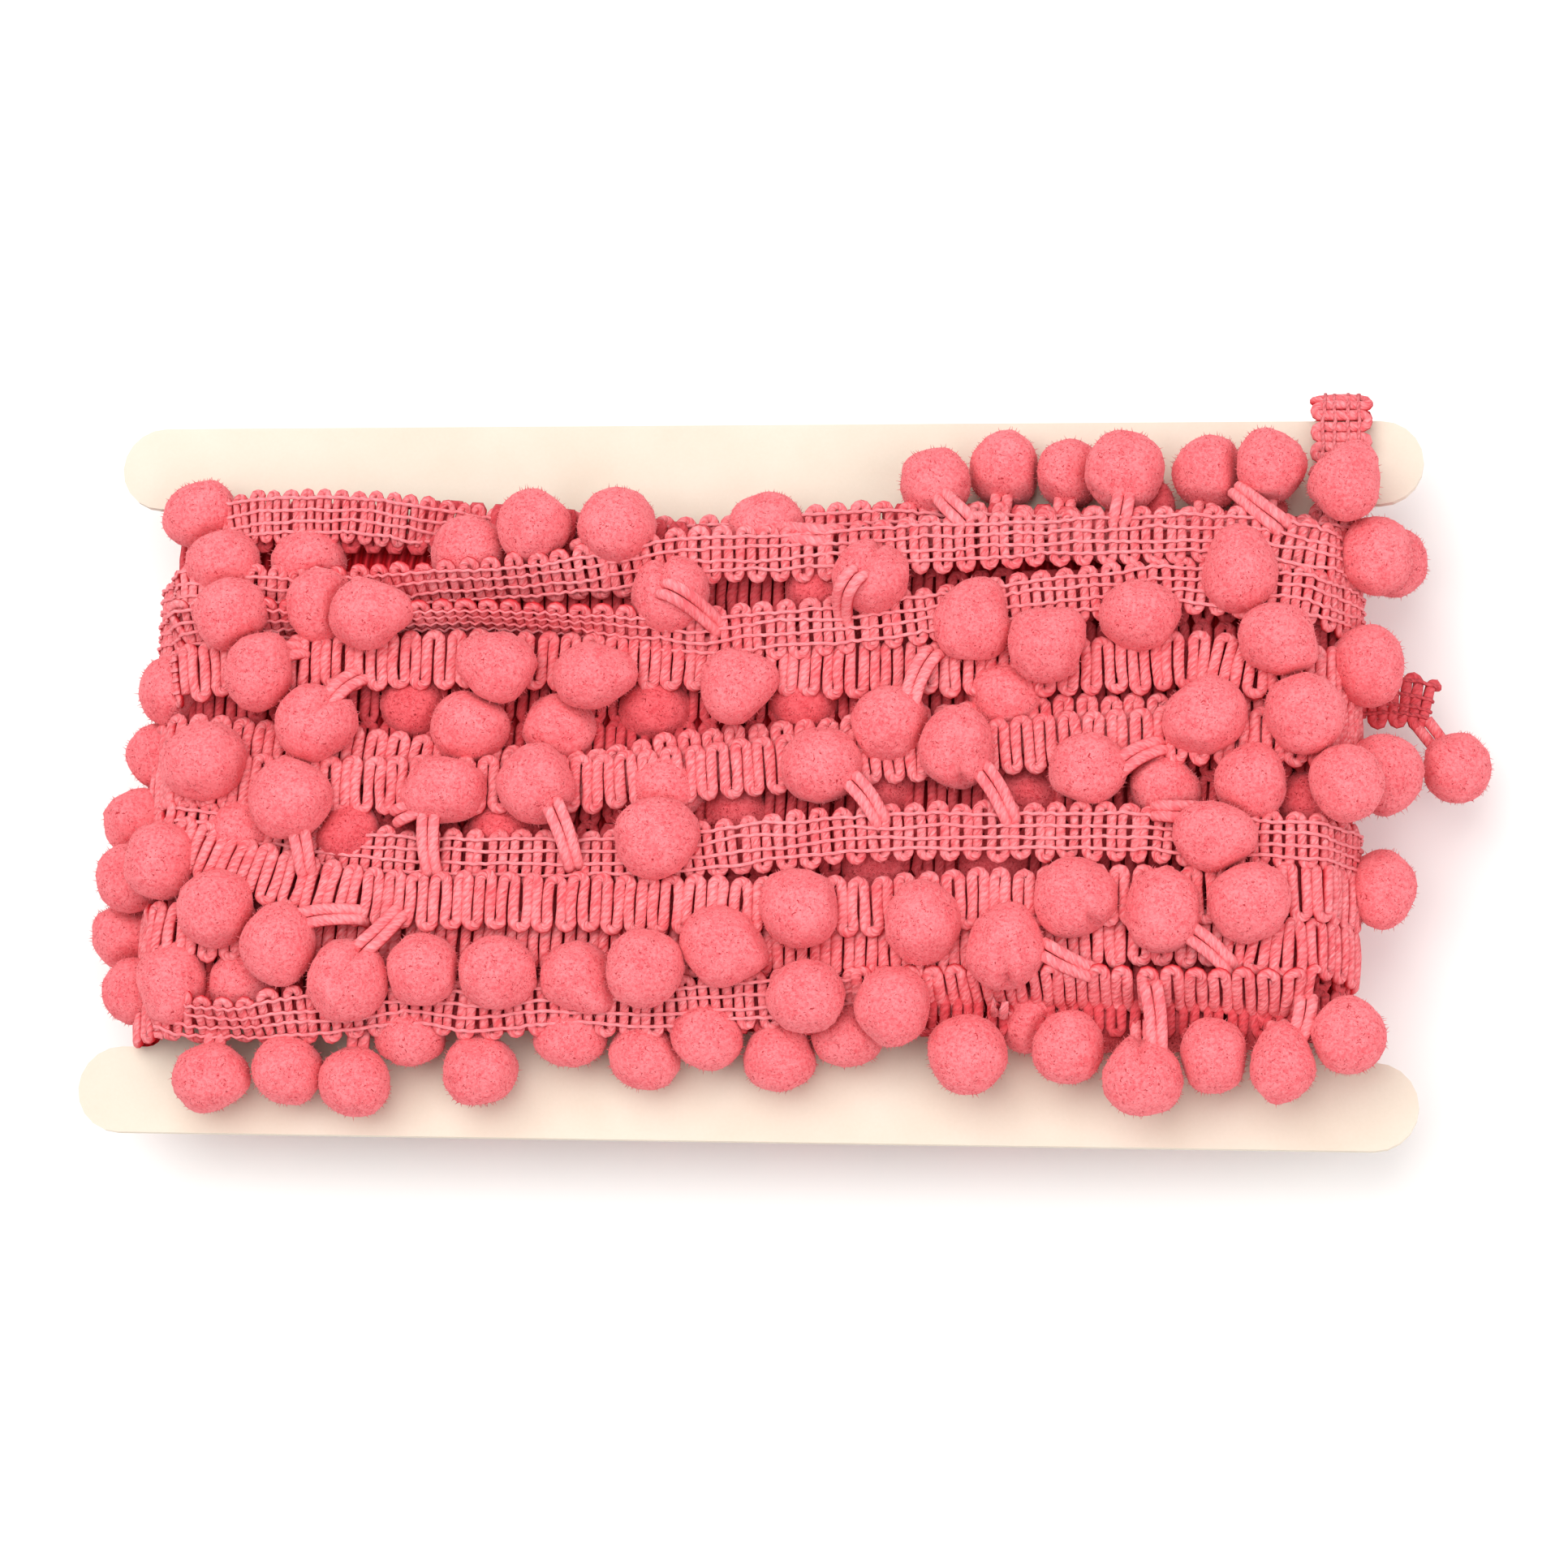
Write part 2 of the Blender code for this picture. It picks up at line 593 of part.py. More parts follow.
def tail_top(part):
    """The loose end that leaves the winding at the top right and turns over the card's top edge."""
    x = TAIL_TOP_X
    front = CARD_FRONT_Z + TAIL_CLEAR + BRAID_THICKNESS / 2
    back = CARD_BACK_Z - TAIL_CLEAR - BRAID_THICKNESS / 2
    turn_y = CARD_HALF_HEIGHT + 0.2
    reach = (front - back) / 2
    centre_z = (front + back) / 2
    across = (1, 0, 0)
    under_turn = CARD_FRONT_Z + RIDGE_FOOT - 0.35 - BRAID_THICKNESS / 2
    line = [((x, 45.6, under_turn), across, (0, 0, 1)), ((x, 54.0, front), across, (0, 0, 1))]
    for step in range(7):
        turn = math.radians(90 - 30 * step)
        place = (x, turn_y + reach * math.cos(turn), centre_z + reach * math.sin(turn))
        line.append((place, across, (0, math.cos(turn), math.sin(turn))))
    line.append(((x, 50.0, back), across, (0, 0, -1)))
    return strip("tail_top", line, BRAID_WIDTH - 0.5, BRAID_THICKNESS, part)


def tail_side(part):
    """The other loose end: a short fold of braid at the right fold, with one pompom on its loop."""
    z = CARD_FRONT_Z
    line = [((101.2, 14.6, z - 5.0), (0, 1, 0.0), (-0.3, 0, 1)),
            ((106.0, 14.2, z - 5.6), (0, 1, 0.1), (0, 0, 1)),
            ((110.2, 12.4, z - 5.8), (0.35, 1, 0), (0, 0, 1)),
            ((112.6, 10.4, z - 7.2), (0.6, 1, 0), (0.5, -0.3, 0.8))]
    body = strip("tail_side", line, 8.4, BRAID_THICKNESS, part)
    joined = bpy.data.collections.new("tail pieces")
    bpy.context.scene.collection.children.link(joined)
    joined.hide_render = True
    place = (116.6, 3.4, z - 6.0)
    size = TAIL_BALL_SIZE / 2
    ball("tail pompom", place, (size, size, size), 0.3, 5, joined)
    strand("tail loop", (111.2, 10.6, z - 6.4), (115.6, 5.0, z - 6.0), LOOP_WIDE, LOOP_THICK, joined)
    for item in joined.objects:
        item.hide_render = True
        item.display_type = 'WIRE'
    join = body.modifiers.new("join pieces", 'BOOLEAN')
    join.operation = 'UNION'
    join.solver = 'EXACT'
    join.operand_type = 'COLLECTION'
    join.collection = joined
    return body


def main():
    """Build the card, the wound trim and its two loose ends."""
    part, pieces, cutters = fresh_scene()
    card = prism("card", card_outline(0.0), CARD_BACK_Z, CARD_FRONT_Z, part)
    card.data.materials.append(material("cream board", (0.93, 0.85, 0.74), 0.75))
    trim = wound_trim(part, pieces, cutters)
    trim.data.materials.append(material("coral wound yarn", (0.88, 0.22, 0.24), 0.95))
    top = tail_top(part)
    top.data.materials.append(material("coral braid end", (0.86, 0.20, 0.22), 0.95))
    side = tail_side(part)
    side.data.materials.append(material("coral braid end with pompom", (0.86, 0.21, 0.23), 0.95))


main()
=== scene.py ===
"""Pompom fringe trim wound on a card: its looks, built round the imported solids.

The braid is one thick yarn laid to and fro and held by fine warp yarns, with a pompom on a long
loop after every few turns of the yarn. +X runs along the turns, +Y to the card's top edge and +Z
out of its front face. Sizes are millimetres, and become metres once, when a mesh is made.
"""

import logging
import math
import random
from dataclasses import dataclass, field
from enum import Enum

import bmesh
import bpy
import numpy as np
from mathutils import Matrix, Vector

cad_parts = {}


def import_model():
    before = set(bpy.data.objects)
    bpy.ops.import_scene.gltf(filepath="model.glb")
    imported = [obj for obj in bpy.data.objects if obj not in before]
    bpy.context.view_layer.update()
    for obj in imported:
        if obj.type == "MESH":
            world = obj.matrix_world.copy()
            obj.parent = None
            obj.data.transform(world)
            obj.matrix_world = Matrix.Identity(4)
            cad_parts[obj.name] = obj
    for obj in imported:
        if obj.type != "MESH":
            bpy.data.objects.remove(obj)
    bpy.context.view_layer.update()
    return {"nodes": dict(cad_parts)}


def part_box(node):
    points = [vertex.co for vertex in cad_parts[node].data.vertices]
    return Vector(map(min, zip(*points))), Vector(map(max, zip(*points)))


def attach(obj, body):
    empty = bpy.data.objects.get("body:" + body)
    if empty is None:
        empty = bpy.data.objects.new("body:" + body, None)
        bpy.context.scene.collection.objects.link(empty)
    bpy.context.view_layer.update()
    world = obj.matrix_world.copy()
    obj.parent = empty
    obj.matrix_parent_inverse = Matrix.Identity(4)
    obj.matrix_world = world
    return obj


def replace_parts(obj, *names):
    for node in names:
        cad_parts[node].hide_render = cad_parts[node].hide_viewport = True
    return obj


MM = 0.001
BODY = "root"
UV_NAME = "yarn"
log = logging.getLogger("trim")

Place = tuple[float, float, float]
# A place on the braid's line, and the direction that its outward face looks in there.
Row = tuple[Place, Place]
UP: Place = (0.0, 0.0, 1.0)
DOWN: Place = (0.0, 0.0, -1.0)
# Leaves a direction's share along the card and takes away its share out of it.
LEVEL = np.array([1.0, 1.0, 0.0])


class Face(Enum):
    """Which side of the braid looks outward."""

    RIBBED = "ribbed"
    MESH = "mesh"


class Level(Enum):
    """Height of a pompom's middle over the card's front face, in millimetres."""

    TOP = 14.4
    UPPER = 12.5
    MID = 10.5
    DEEP = 7.4
    FLANGE = 7.3
    SIDE = 0.0


class Group(Enum):
    """The pieces that the pompoms are joined in, by name."""

    LEFT = "pompoms_left"
    RIGHT = "pompoms_right"
    DEEP = "pompoms_deep"
    BACK = "pompoms_back"


class NodeKind(Enum):
    """The kinds of node that the finishes are made of."""

    SPOT = "ShaderNodeTexCoord"
    UV_MAP = "ShaderNodeUVMap"
    SPLIT = "ShaderNodeSeparateXYZ"
    JOIN = "ShaderNodeCombineXYZ"
    MATH = "ShaderNodeMath"
    RANGE = "ShaderNodeMapRange"
    NOISE = "ShaderNodeTexNoise"
    MIX = "ShaderNodeMix"
    BUMP = "ShaderNodeBump"
    SURFACE = "ShaderNodeBsdfPrincipled"
    OUTPUT = "ShaderNodeOutputMaterial"


@dataclass(frozen=True)
class CardSize:
    """The card's back and front face and its top edge, in millimetres, as its solid has them."""

    back: float
    front: float
    top: float

    @property
    def middle(self) -> float:
        """Height of its middle plane."""
        return (self.front + self.back) / 2

    @property
    def half(self) -> float:
        """Half of its thickness."""
        return (self.front - self.back) / 2


@dataclass(frozen=True)
class Sight:
    """The photograph's eye point over the middle of the card, and the level its places are read on.

    Places in the tables are where a line of sight crosses a level read_height over the card's
    front face, so each is moved along that line to its own height.
    """

    x: float = 120.3
    y: float = -180.3
    height: float = 751.9
    read_height: float = 14.0
    forward: tuple[float, float, float] = (-0.146111, 0.229213, -0.962348)
    up: tuple[float, float, float] = (-0.004455, 0.972625, 0.232337)
    focal_px: float = 5800.0
    frame_px: float = 1932.0

    def place(self, x: float, y: float, height: float) -> tuple[float, float]:
        """Move a place that was read on the reading level to its own height.

        Args:
            x: Place along the turns on the reading level, in millimetres.
            y: Place up the card on the reading level, in millimetres.
            height: The place's own height over the card's front face.

        Returns:
            The place's own x and y, in millimetres.
        """
        share = (self.read_height - height) / (self.height - self.read_height)
        return x - (self.x - x) * share, y - (self.y - y) * share


SIGHT = Sight()


@dataclass(frozen=True)
class Ball:
    """One pompom as read from the photograph.

    crease is the direction, in degrees from +X, in which its loop draws a furrow in its face, and
    pull is the direction in which it is drawn out to a blunt point.
    """

    x: float
    y: float
    height: float
    wide: float
    tall: float
    crease: float | None = None
    pull: float | None = None


@dataclass(frozen=True)
class Turn:
    """One outer turn across the front.

    Each point is x, y, lift over the turn's height, and lean in degrees, which is positive where
    the upper edge stands higher. From change_at on, the braid shows its later face.
    """

    name: str
    face: Face
    height: float
    points: tuple[tuple[float, float, float, float], ...]
    later: Face | None = None
    change_at: float = 200.0


@dataclass(frozen=True)
class Loop:
    """A long loop of two yarns between a turn and its pompom, as x, y and height at its two ends.

    over says that it starts in the furrow of its pompom's face and crosses the face.
    """

    x0: float
    y0: float
    height0: float
    x1: float
    y1: float
    height1: float
    over: bool = False


# How far a loop's end goes down out of sight, in its pompom's pile or between the ribs.
DIVE = np.array([0.0, 0.0, 2.2])

TOP = Level.TOP.value
UPPER = Level.UPPER.value
MID = Level.MID.value
DEEP = Level.DEEP.value
FLANGE = Level.FLANGE.value
SIDE = Level.SIDE.value

# Pompoms over the top flange, left to right.
TOP_FLANGE_BALLS = (
    Ball(31.5, 46.5, 8.5, 13.0, 12.5),
    Ball(43.0, 48.5, FLANGE, 13.0, 13.0),
    Ball(53.5, 48.0, FLANGE, 11.8, 12.0),
    Ball(62.5, 48.5, 8.8, 14.2, 14.0),
    Ball(76.5, 48.0, FLANGE, 13.0, 13.0),
    Ball(86.3, 49.0, FLANGE, 12.6, 12.6),
    Ball(98.2, 46.2, 11.4, 12.4, 12.4, None, 60.0),
)

# Pompoms of the upper third.
UPPER_BALLS = (
    Ball(-92.5, 41.5, 9.5, 13.0, 12.5),
    Ball(-88.5, 33.0, MID, 13.4, 12.5),
    Ball(-86.4, 24.5, 13.0, 12.8, 12.8),
    Ball(-81.0, 14.2, TOP, 12.5, 14.4),
    Ball(-73.0, 33.0, MID, 12.8, 12.0),
    Ball(-71.0, 25.5, 12.8, 12.6, 13.0),
    Ball(-62.8, 24.0, 15.4, 13.4, 12.4, None, 15.0),
    Ball(-73.5, 38.9, 5.0, 12.4, 11.6),
    Ball(-46.0, 35.0, 11.6, 13.2, 13.0),
    Ball(-35.5, 39.5, 15.0, 13.0, 12.8),
    Ball(-21.5, 39.5, 15.2, 13.4, 13.0),
    Ball(4.0, 38.6, 9.2, 13.2, 12.6),
    Ball(-12.0, 27.5, TOP, 13.4, 13.0, 100.0),
    Ball(13.0, 28.0, 8.6, 12.4, 12.4),
    Ball(21.5, 30.5, TOP, 13.2, 13.4, 75.0),
    Ball(38.5, 22.5, TOP, 13.2, 13.4, None, 75.0),
    Ball(50.5, 19.0, 15.4, 13.0, 13.4, None, 45.0),
    Ball(65.5, 24.0, TOP, 13.4, 12.6),
    Ball(81.6, 31.0, TOP, 12.8, 13.4, None, 95.0),
    Ball(88.0, 19.8, 15.0, 12.8, 12.4, None, -50.0),
)

# Pompoms of the middle third.
MIDDLE_BALLS = (
    Ball(-40.5, 15.3, TOP, 13.6, 12.2, None, 160.0),
    Ball(-25.0, 13.6, TOP, 13.0, 11.8, None, 12.0),
    Ball(-0.4, 12.3, TOP, 12.4, 13.2, None, 15.0),
    Ball(-14.0, 8.0, DEEP, 13.0, 11.4),
    Ball(11.0, 9.0, DEEP, 12.4, 11.6),
    Ball(-53.5, 8.0, DEEP, 12.4, 11.8),
    Ball(-44.5, 4.7, UPPER, 13.4, 13.0),
    Ball(-29.5, 4.9, MID, 12.8, 11.4),
    Ball(25.2, 5.8, TOP, 13.6, 12.8),
    Ball(44.3, 10.5, MID, 12.4, 11.4),
    Ball(76.6, 7.0, TOP, 14.4, 13.3),
    Ball(92.2, 7.8, TOP, 13.3, 14.0),
    Ball(-70.8, 5.8, TOP, 14.0, 13.0, 45.0),
    Ball(-89.2, -0.9, TOP, 14.4, 13.0),
    Ball(-74.2, -7.6, 15.2, 14.4, 13.8),
    Ball(-81.7, -13.0, MID, 12.6, 12.0),
    Ball(-64.0, -13.4, DEEP, 12.4, 11.6),
    Ball(-48.1, -5.7, TOP, 14.6, 12.0),
    Ball(-32.8, -4.8, TOP, 13.4, 13.8, -40.0),
    Ball(-38.0, -12.6, DEEP, 12.4, 11.4),
    Ball(-11.4, -5.7, UPPER, 12.8, 11.8),
    Ball(-12.4, -13.6, 15.6, 14.4, 13.8),
    Ball(14.2, -1.6, TOP, 13.2, 13.2),
    Ball(36.5, 1.8, TOP, 13.2, 14.6, -80.0),
    Ball(57.6, -1.6, TOP, 13.3, 12.2),
    Ball(70.2, -5.0, MID, 12.0, 11.4),
    Ball(84.0, -3.6, TOP, 12.4, 13.4),
    Ball(99.4, -4.0, 12.6, 12.2, 13.6),
    Ball(78.0, -12.6, TOP, 14.3, 12.0),
)

# Pompoms of the lower third.
LOWER_BALLS = (
    Ball(-95.6, -18.0, MID, 12.8, 13.3),
    Ball(-85.6, -26.3, TOP, 13.4, 13.5),
    Ball(-74.4, -32.0, TOP, 13.2, 14.8),
    Ball(-92.0, -38.5, 9.0, 12.6, 14.4),
    Ball(-80.0, -38.5, DEEP, 12.6, 12.0),
    Ball(-62.8, -37.8, TOP, 13.6, 14.4, 60.0),
    Ball(-50.2, -36.0, TOP, 12.6, 12.4),
    Ball(-37.8, -36.2, TOP, 13.6, 12.5),
    Ball(-24.2, -36.8, 13.6, 13.0, 12.8, None, -45.0),
    Ball(-13.6, -35.5, 15.2, 13.3, 13.6),
    Ball(-0.9, -31.8, TOP, 13.6, 13.8, None, 0.0),
    Ball(11.4, -25.2, 15.0, 14.0, 13.5),
    Ball(13.2, -39.7, 13.0, 13.2, 12.6),
    Ball(27.4, -41.2, 12.0, 12.6, 13.6),
    Ball(31.8, -27.5, TOP, 12.6, 14.0),
    Ball(45.4, -31.3, TOP, 13.3, 14.4, -85.0),
    Ball(56.2, -23.3, 15.0, 13.8, 13.5, -55.0),
    Ball(70.3, -25.0, TOP, 12.8, 14.0),
    Ball(84.0, -23.4, TOP, 13.8, 14.0),
)

# Pompoms over the bottom flange.
BOTTOM_FLANGE_BALLS = (
    Ball(-84.4, -54.0, FLANGE, 12.8, 12.0),
    Ball(-72.0, -52.8, FLANGE, 12.0, 12.2),
    Ball(-60.3, -54.5, FLANGE, 12.2, 12.2),
    Ball(-51.5, -47.0, FLANGE, 12.2, 10.6),
    Ball(-40.0, -52.4, FLANGE, 12.8, 12.4),
    Ball(-25.2, -46.8, FLANGE, 12.4, 10.8),
    Ball(-12.8, -49.8, FLANGE, 12.6, 12.2),
    Ball(-2.6, -46.4, FLANGE, 12.4, 10.6),
    Ball(9.5, -49.6, FLANGE, 13.0, 12.4),
    Ball(20.0, -46.0, FLANGE, 12.4, 10.6),
    Ball(39.6, -48.9, 9.5, 13.0, 13.4),
    Ball(50.0, -43.2, FLANGE, 12.2, 11.6),
    Ball(55.6, -47.3, FLANGE, 11.8, 12.4),
    Ball(67.8, -52.0, 10.0, 13.6, 12.9, 95.0),
    Ball(78.8, -48.5, FLANGE, 12.2, 12.2),
    Ball(89.7, -49.6, 8.6, 12.2, 13.4),
    Ball(99.8, -45.2, 9.4, 12.0, 13.0),
)

# Pompoms off the folds at the two sides.
SIDE_BALLS = (
    Ball(-90.5, 21.5, 3.0, 12.6, 12.4),
    Ball(-95.0, 11.0, 3.0, 12.8, 13.0),
    Ball(-96.5, -0.5, SIDE, 12.8, 12.6),
    Ball(-99.0, -11.5, SIDE, 13.0, 12.6),
    Ball(-100.2, -21.0, 1.0, 13.0, 12.6),
    Ball(-99.8, -30.5, -1.0, 13.0, 12.6),
    Ball(-98.0, -40.0, SIDE, 13.0, 12.8),
    Ball(104.0, 34.0, 4.5, 12.6, 13.2),
    Ball(106.4, 32.6, -4.0, 12.0, 12.4),
    Ball(102.4, 15.5, 5.0, 12.4, 13.8),
    Ball(105.0, -2.5, 2.0, 13.0, 13.2),
    Ball(105.2, -21.3, SIDE, 11.4, 13.2),
)

# Small deep pompoms that only show in the hollows between the turns.
HOLLOW_BALLS = (
    Ball(1.0, -9.5, 6.0, 12.0, 11.0),
    Ball(25.0, -6.0, 6.0, 12.0, 11.0),
    Ball(48.0, -6.5, 6.0, 12.0, 11.0),
    Ball(92.5, -7.5, 6.0, 12.0, 11.0),
    Ball(24.0, -18.2, 6.4, 12.0, 10.0),
    Ball(43.0, -18.2, 6.4, 12.0, 10.0),
    Ball(-55.0, -14.2, 7.0, 11.0, 10.0),
    Ball(61.0, -43.5, 6.0, 11.0, 10.0),
    Ball(74.0, -43.5, 6.0, 11.0, 10.0),
    Ball(86.0, -43.0, 6.0, 11.0, 10.0),
    Ball(84.0, 42.0, 7.0, 11.0, 10.0),
    Ball(66.0, 42.5, 7.0, 11.0, 10.0),
)

# The outer turns, from the top down, left end first.
TURNS = (
    Turn("top turn", Face.MESH, 11.0, (
        (-94, 37.6, -4, 0), (-86, 40.4, -1.4, 4), (-81, 41.2, 0, 8), (-65, 41.0, 0, 8),
        (-54, 39.8, -1, 30), (-45, 38.2, -4, 30), (-20, 36.4, -5, 0), (2, 36.6, -3.5, 0),
        (14, 38.4, 0, 0), (28, 38.6, 0, 0), (45, 38.0, -1.5, 0), (95, 36.0, -3.5, 0))),
    Turn("high mesh turn", Face.MESH, 14.2, (
        (-94, 28.6, -3, 0), (-75, 27.4, -4, 30), (-62, 28.4, -2.4, 50), (-54, 29.0, -0.4, 50),
        (-40, 30.0, 0, 50), (-30, 30.8, 0.2, 44), (-20, 32.2, 0, 26), (-10, 34.0, 0, 8),
        (10, 34.7, 0.2, 4), (30, 36.0, 0, 4), (50, 37.0, 0.3, 4), (70, 37.5, 0, 2),
        (84, 37.2, -0.2, 0), (95, 34.8, -2.6, 0))),
    Turn("twisted turn", Face.MESH, 13.6, (
        (-94, 22.0, -3, 30), (-70, 23.0, -2.6, 72), (-60, 23.4, -0.6, 74), (-45, 23.9, 0, 76),
        (-28, 22.9, 0, 72), (-17, 21.4, 0, 50), (-7, 20.4, 0, 22), (0, 21.0, 0, 5),
        (20, 22.6, 0.2, 0), (45, 26.2, 0, 0), (60, 27.8, 0.3, 0), (70, 29.0, 0.2, 0),
        (78, 28.6, 0, 0), (92, 27.5, -0.5, 0), (95, 26.4, -2.6, 0))),
    Turn("upper ribbed turn", Face.RIBBED, 12.4, (
        (-94, 13.6, -2, 0), (-85, 15.2, -0.3, 0), (-74, 15.8, 0, 0), (-50, 16.4, 0.2, 0),
        (-30, 16.2, -0.3, 0), (-10, 16.0, 0, 0), (15, 15.0, 0.2, 0), (35, 15.3, 0, 0),
        (58, 15.4, -0.2, 0), (75, 16.4, 0, 0), (84, 15.0, 0.2, -8), (95, 14.2, -2.4, 0))),
    Turn("sunk turn", Face.RIBBED, 10.9, (
        (-94, 2.0, -1, 0), (-62, -0.3, 0, 0), (-45, -2.0, 0, 0), (-26, -4.0, 0, 0),
        (-10, -0.8, 0, 0), (3, 0.7, 0, 0), (18, 2.2, 0, 0), (35, 4.0, 0, 0),
        (50, 5.6, 0, 0), (68, 5.8, 0, 0), (95, 6.4, -1, 0))),
    Turn("middle ribbed turn", Face.RIBBED, 13.0, (
        (-94, -4.4, -2, 0), (-68, -5.0, 0, 0), (-45, -4.8, 0.2, 0), (-22, -4.5, -0.2, 0),
        (-10, -3.0, 0, 0), (0, -2.0, 0.2, 0), (20, 0.0, 0, 0), (43, 1.8, 0, 0),
        (55, 3.0, 0.2, 0), (66, 3.6, 0, 0), (80, 3.8, -0.3, 0), (95, 3.0, -2.6, 0))),
    Turn("wide mesh turn", Face.MESH, 14.3, (
        (-94, -12.4, -3, 0), (-75, -14.6, -2.2, 0), (-60, -16.6, -1.9, 0), (-40, -17.2, -1.7, 0),
        (-20, -17.2, -1.4, 0), (-8, -16.2, -0.4, 8), (2, -14.8, 0, 6), (12, -13.8, 0.2, 4),
        (22, -12.8, 0.2, 4), (40, -12.2, 0.2, 4), (60, -12.2, 0.1, 4), (67, -12.4, -0.2, 0),
        (76, -13.2, -1.0, 0), (90, -13.4, -1.4, 0), (95, -13.6, -2.8, 0))),
    Turn("long ribbed turn", Face.RIBBED, 14.0, (
        (-94, -15.4, -2.6, 0), (-89, -16.2, -1, 0), (-84, -18.0, 0, 0), (-78, -20.0, 0, 0),
        (-70, -22.0, 0, 0), (-60, -23.9, 0.2, 0), (-40, -24.4, 0.3, 0), (-20, -24.6, 0.2, 0),
        (0, -25.0, 0, 0), (12, -25.0, 0, 0), (22, -24.8, -0.6, 0), (35, -23.6, -0.4, 0),
        (50, -23.0, 0, 0), (75, -22.4, 0, 0), (95, -21.8, -2.6, 0))),
    Turn("lower ribbed turn", Face.RIBBED, 12.0, (
        (-96, -29.6, -1.5, 0), (-92, -29.8, 0, 0), (-70, -30.2, -0.8, 0), (-45, -31.2, -0.8, 0),
        (-30, -31.4, -0.8, 0), (0, -31.8, -0.6, 0), (22, -31.4, -0.6, 0), (42, -31.0, 0, 0),
        (62, -29.4, 0, 0), (80, -29.6, 0.4, 0), (90, -30.8, 0.6, 0), (95, -31.0, -1.4, 0))),
    Turn("bottom turn", Face.MESH, 11.2, (
        (-94, -43.0, -2, 10), (-88, -44.6, -1, 50), (-80, -44.8, -0.5, 55), (-74, -44.0, 0, 35),
        (-65, -43.3, 0, 16), (-50, -42.0, 0, 12), (-40, -42.8, 0, 12), (-30, -41.8, 0, 12),
        (-10, -41.8, 0, 12), (0, -40.8, 0, 14), (8, -40.3, 0, 18), (20, -39.6, -1.4, 30),
        (36, -38.8, -1.6, 46), (48, -38.2, 0, 52), (60, -38.0, 0, 54), (80, -38.3, 0, 54),
        (90, -38.5, 0, 50), (95, -38.2, -2, 30)), Face.RIBBED, 20.0),
)

# Long loops that show, each from its turn into its pompom.
LOOPS = (
    Loop(-12.6, 27.0, TOP, -4.6, 22.4, 14.9, True),
    Loop(20.6, 29.8, TOP, 17.4, 24.0, 14.6, True),
    Loop(36.5, 40.8, 14.6, 32.5, 45.0, 11.5),
    Loop(61.6, 41.0, 14.8, 62.0, 44.4, 12.6),
    Loop(88.0, 39.6, 14.4, 81.6, 44.8, 11.6),
    Loop(13.0, 37.8, 14.4, 6.5, 38.6, 12.8),
    Loop(-27.5, 35.6, 14.6, -20.5, 37.6, 14.6),
    Loop(32.2, 17.0, 13.8, 29.0, 8.4, 15.6),
    Loop(-63.6, 12.8, 13.2, -68.6, 8.0, 16.4),
    Loop(-72.8, -12.0, 16.0, -71.0, -19.0, 14.6),
    Loop(-50.0, -9.0, 15.2, -49.4, -18.6, 14.2),
    Loop(-30.2, -8.4, 16.8, -26.6, -17.2, 14.6),
    Loop(18.6, -4.0, 15.6, 23.6, -10.4, 15.0),
    Loop(40.2, -2.2, 15.8, 44.8, -9.8, 15.2),
    Loop(62.6, -2.6, 15.0, 69.0, 1.4, 13.8),
    Loop(-60.6, -32.2, 15.8, -55.4, -26.8, 14.9),
    Loop(-72.0, -28.6, 15.4, -61.6, -27.4, 14.4),
    Loop(46.0, -34.4, TOP, 44.6, -40.6, 12.8, True),
    Loop(52.0, -31.4, 14.8, 58.6, -34.6, 13.4),
    Loop(74.0, -28.6, 14.6, 80.6, -34.0, 13.2),
    Loop(68.4, -37.6, 12.8, 69.6, -47.0, 12.4),
    Loop(92.6, -39.6, 10.0, 91.2, -45.6, 10.4),
    Loop(74.6, -8.6, 14.4, 69.8, -8.4, 14.8),
    Loop(-79.6, 15.0, 15.4, -74.6, 17.4, 13.4),
    Loop(-55.4, -9.6, 13.8, -51.8, -8.0, 15.0),
)


def linear(colour: str) -> tuple[float, float, float, float]:
    """Turn an sRGB hex colour to the linear values that shaders take.

    Args:
        colour: A colour such as "#F9858B".

    Returns:
        Linear red, green, blue and an alpha of one.
    """
    parts = [int(colour[start:start + 2], 16) / 255 for start in (1, 3, 5)]
    made = [part / 12.92 if part <= 0.04045 else ((part + 0.055) / 1.055) ** 2.4 for part in parts]
    return made[0], made[1], made[2], 1.0


def add_node(tree: bpy.types.NodeTree, kind: NodeKind, settings: dict | None = None,
             links: dict | None = None) -> bpy.types.Node:
    """Add a node to a tree with its settings and its links.

    Args:
        tree: The material's node tree.
        kind: The node's kind.
        settings: Values by property name, or by input name or number.
        links: Output sockets, or nodes for their first output, by the input that each goes into.

    Returns:
        The new node.
    """
    made = tree.nodes.new(kind.value)
    for key, value in (settings or {}).items():
        if isinstance(key, str) and hasattr(made, key):
            setattr(made, key, value)
        else:
            made.inputs[key].default_value = value
    for key, source in (links or {}).items():
        output = source.outputs[0] if isinstance(source, bpy.types.Node) else source
        tree.links.new(output, made.inputs[key])
    return made


def blank_material(name: str) -> tuple[bpy.types.Material, bpy.types.NodeTree]:
    """Make a material with an empty node tree.

    Args:
        name: The material's name.

    Returns:
        The material and its tree.
    """
    made = bpy.data.materials.new(name)
    made.use_nodes = True
    made.node_tree.nodes.clear()
    return made, made.node_tree


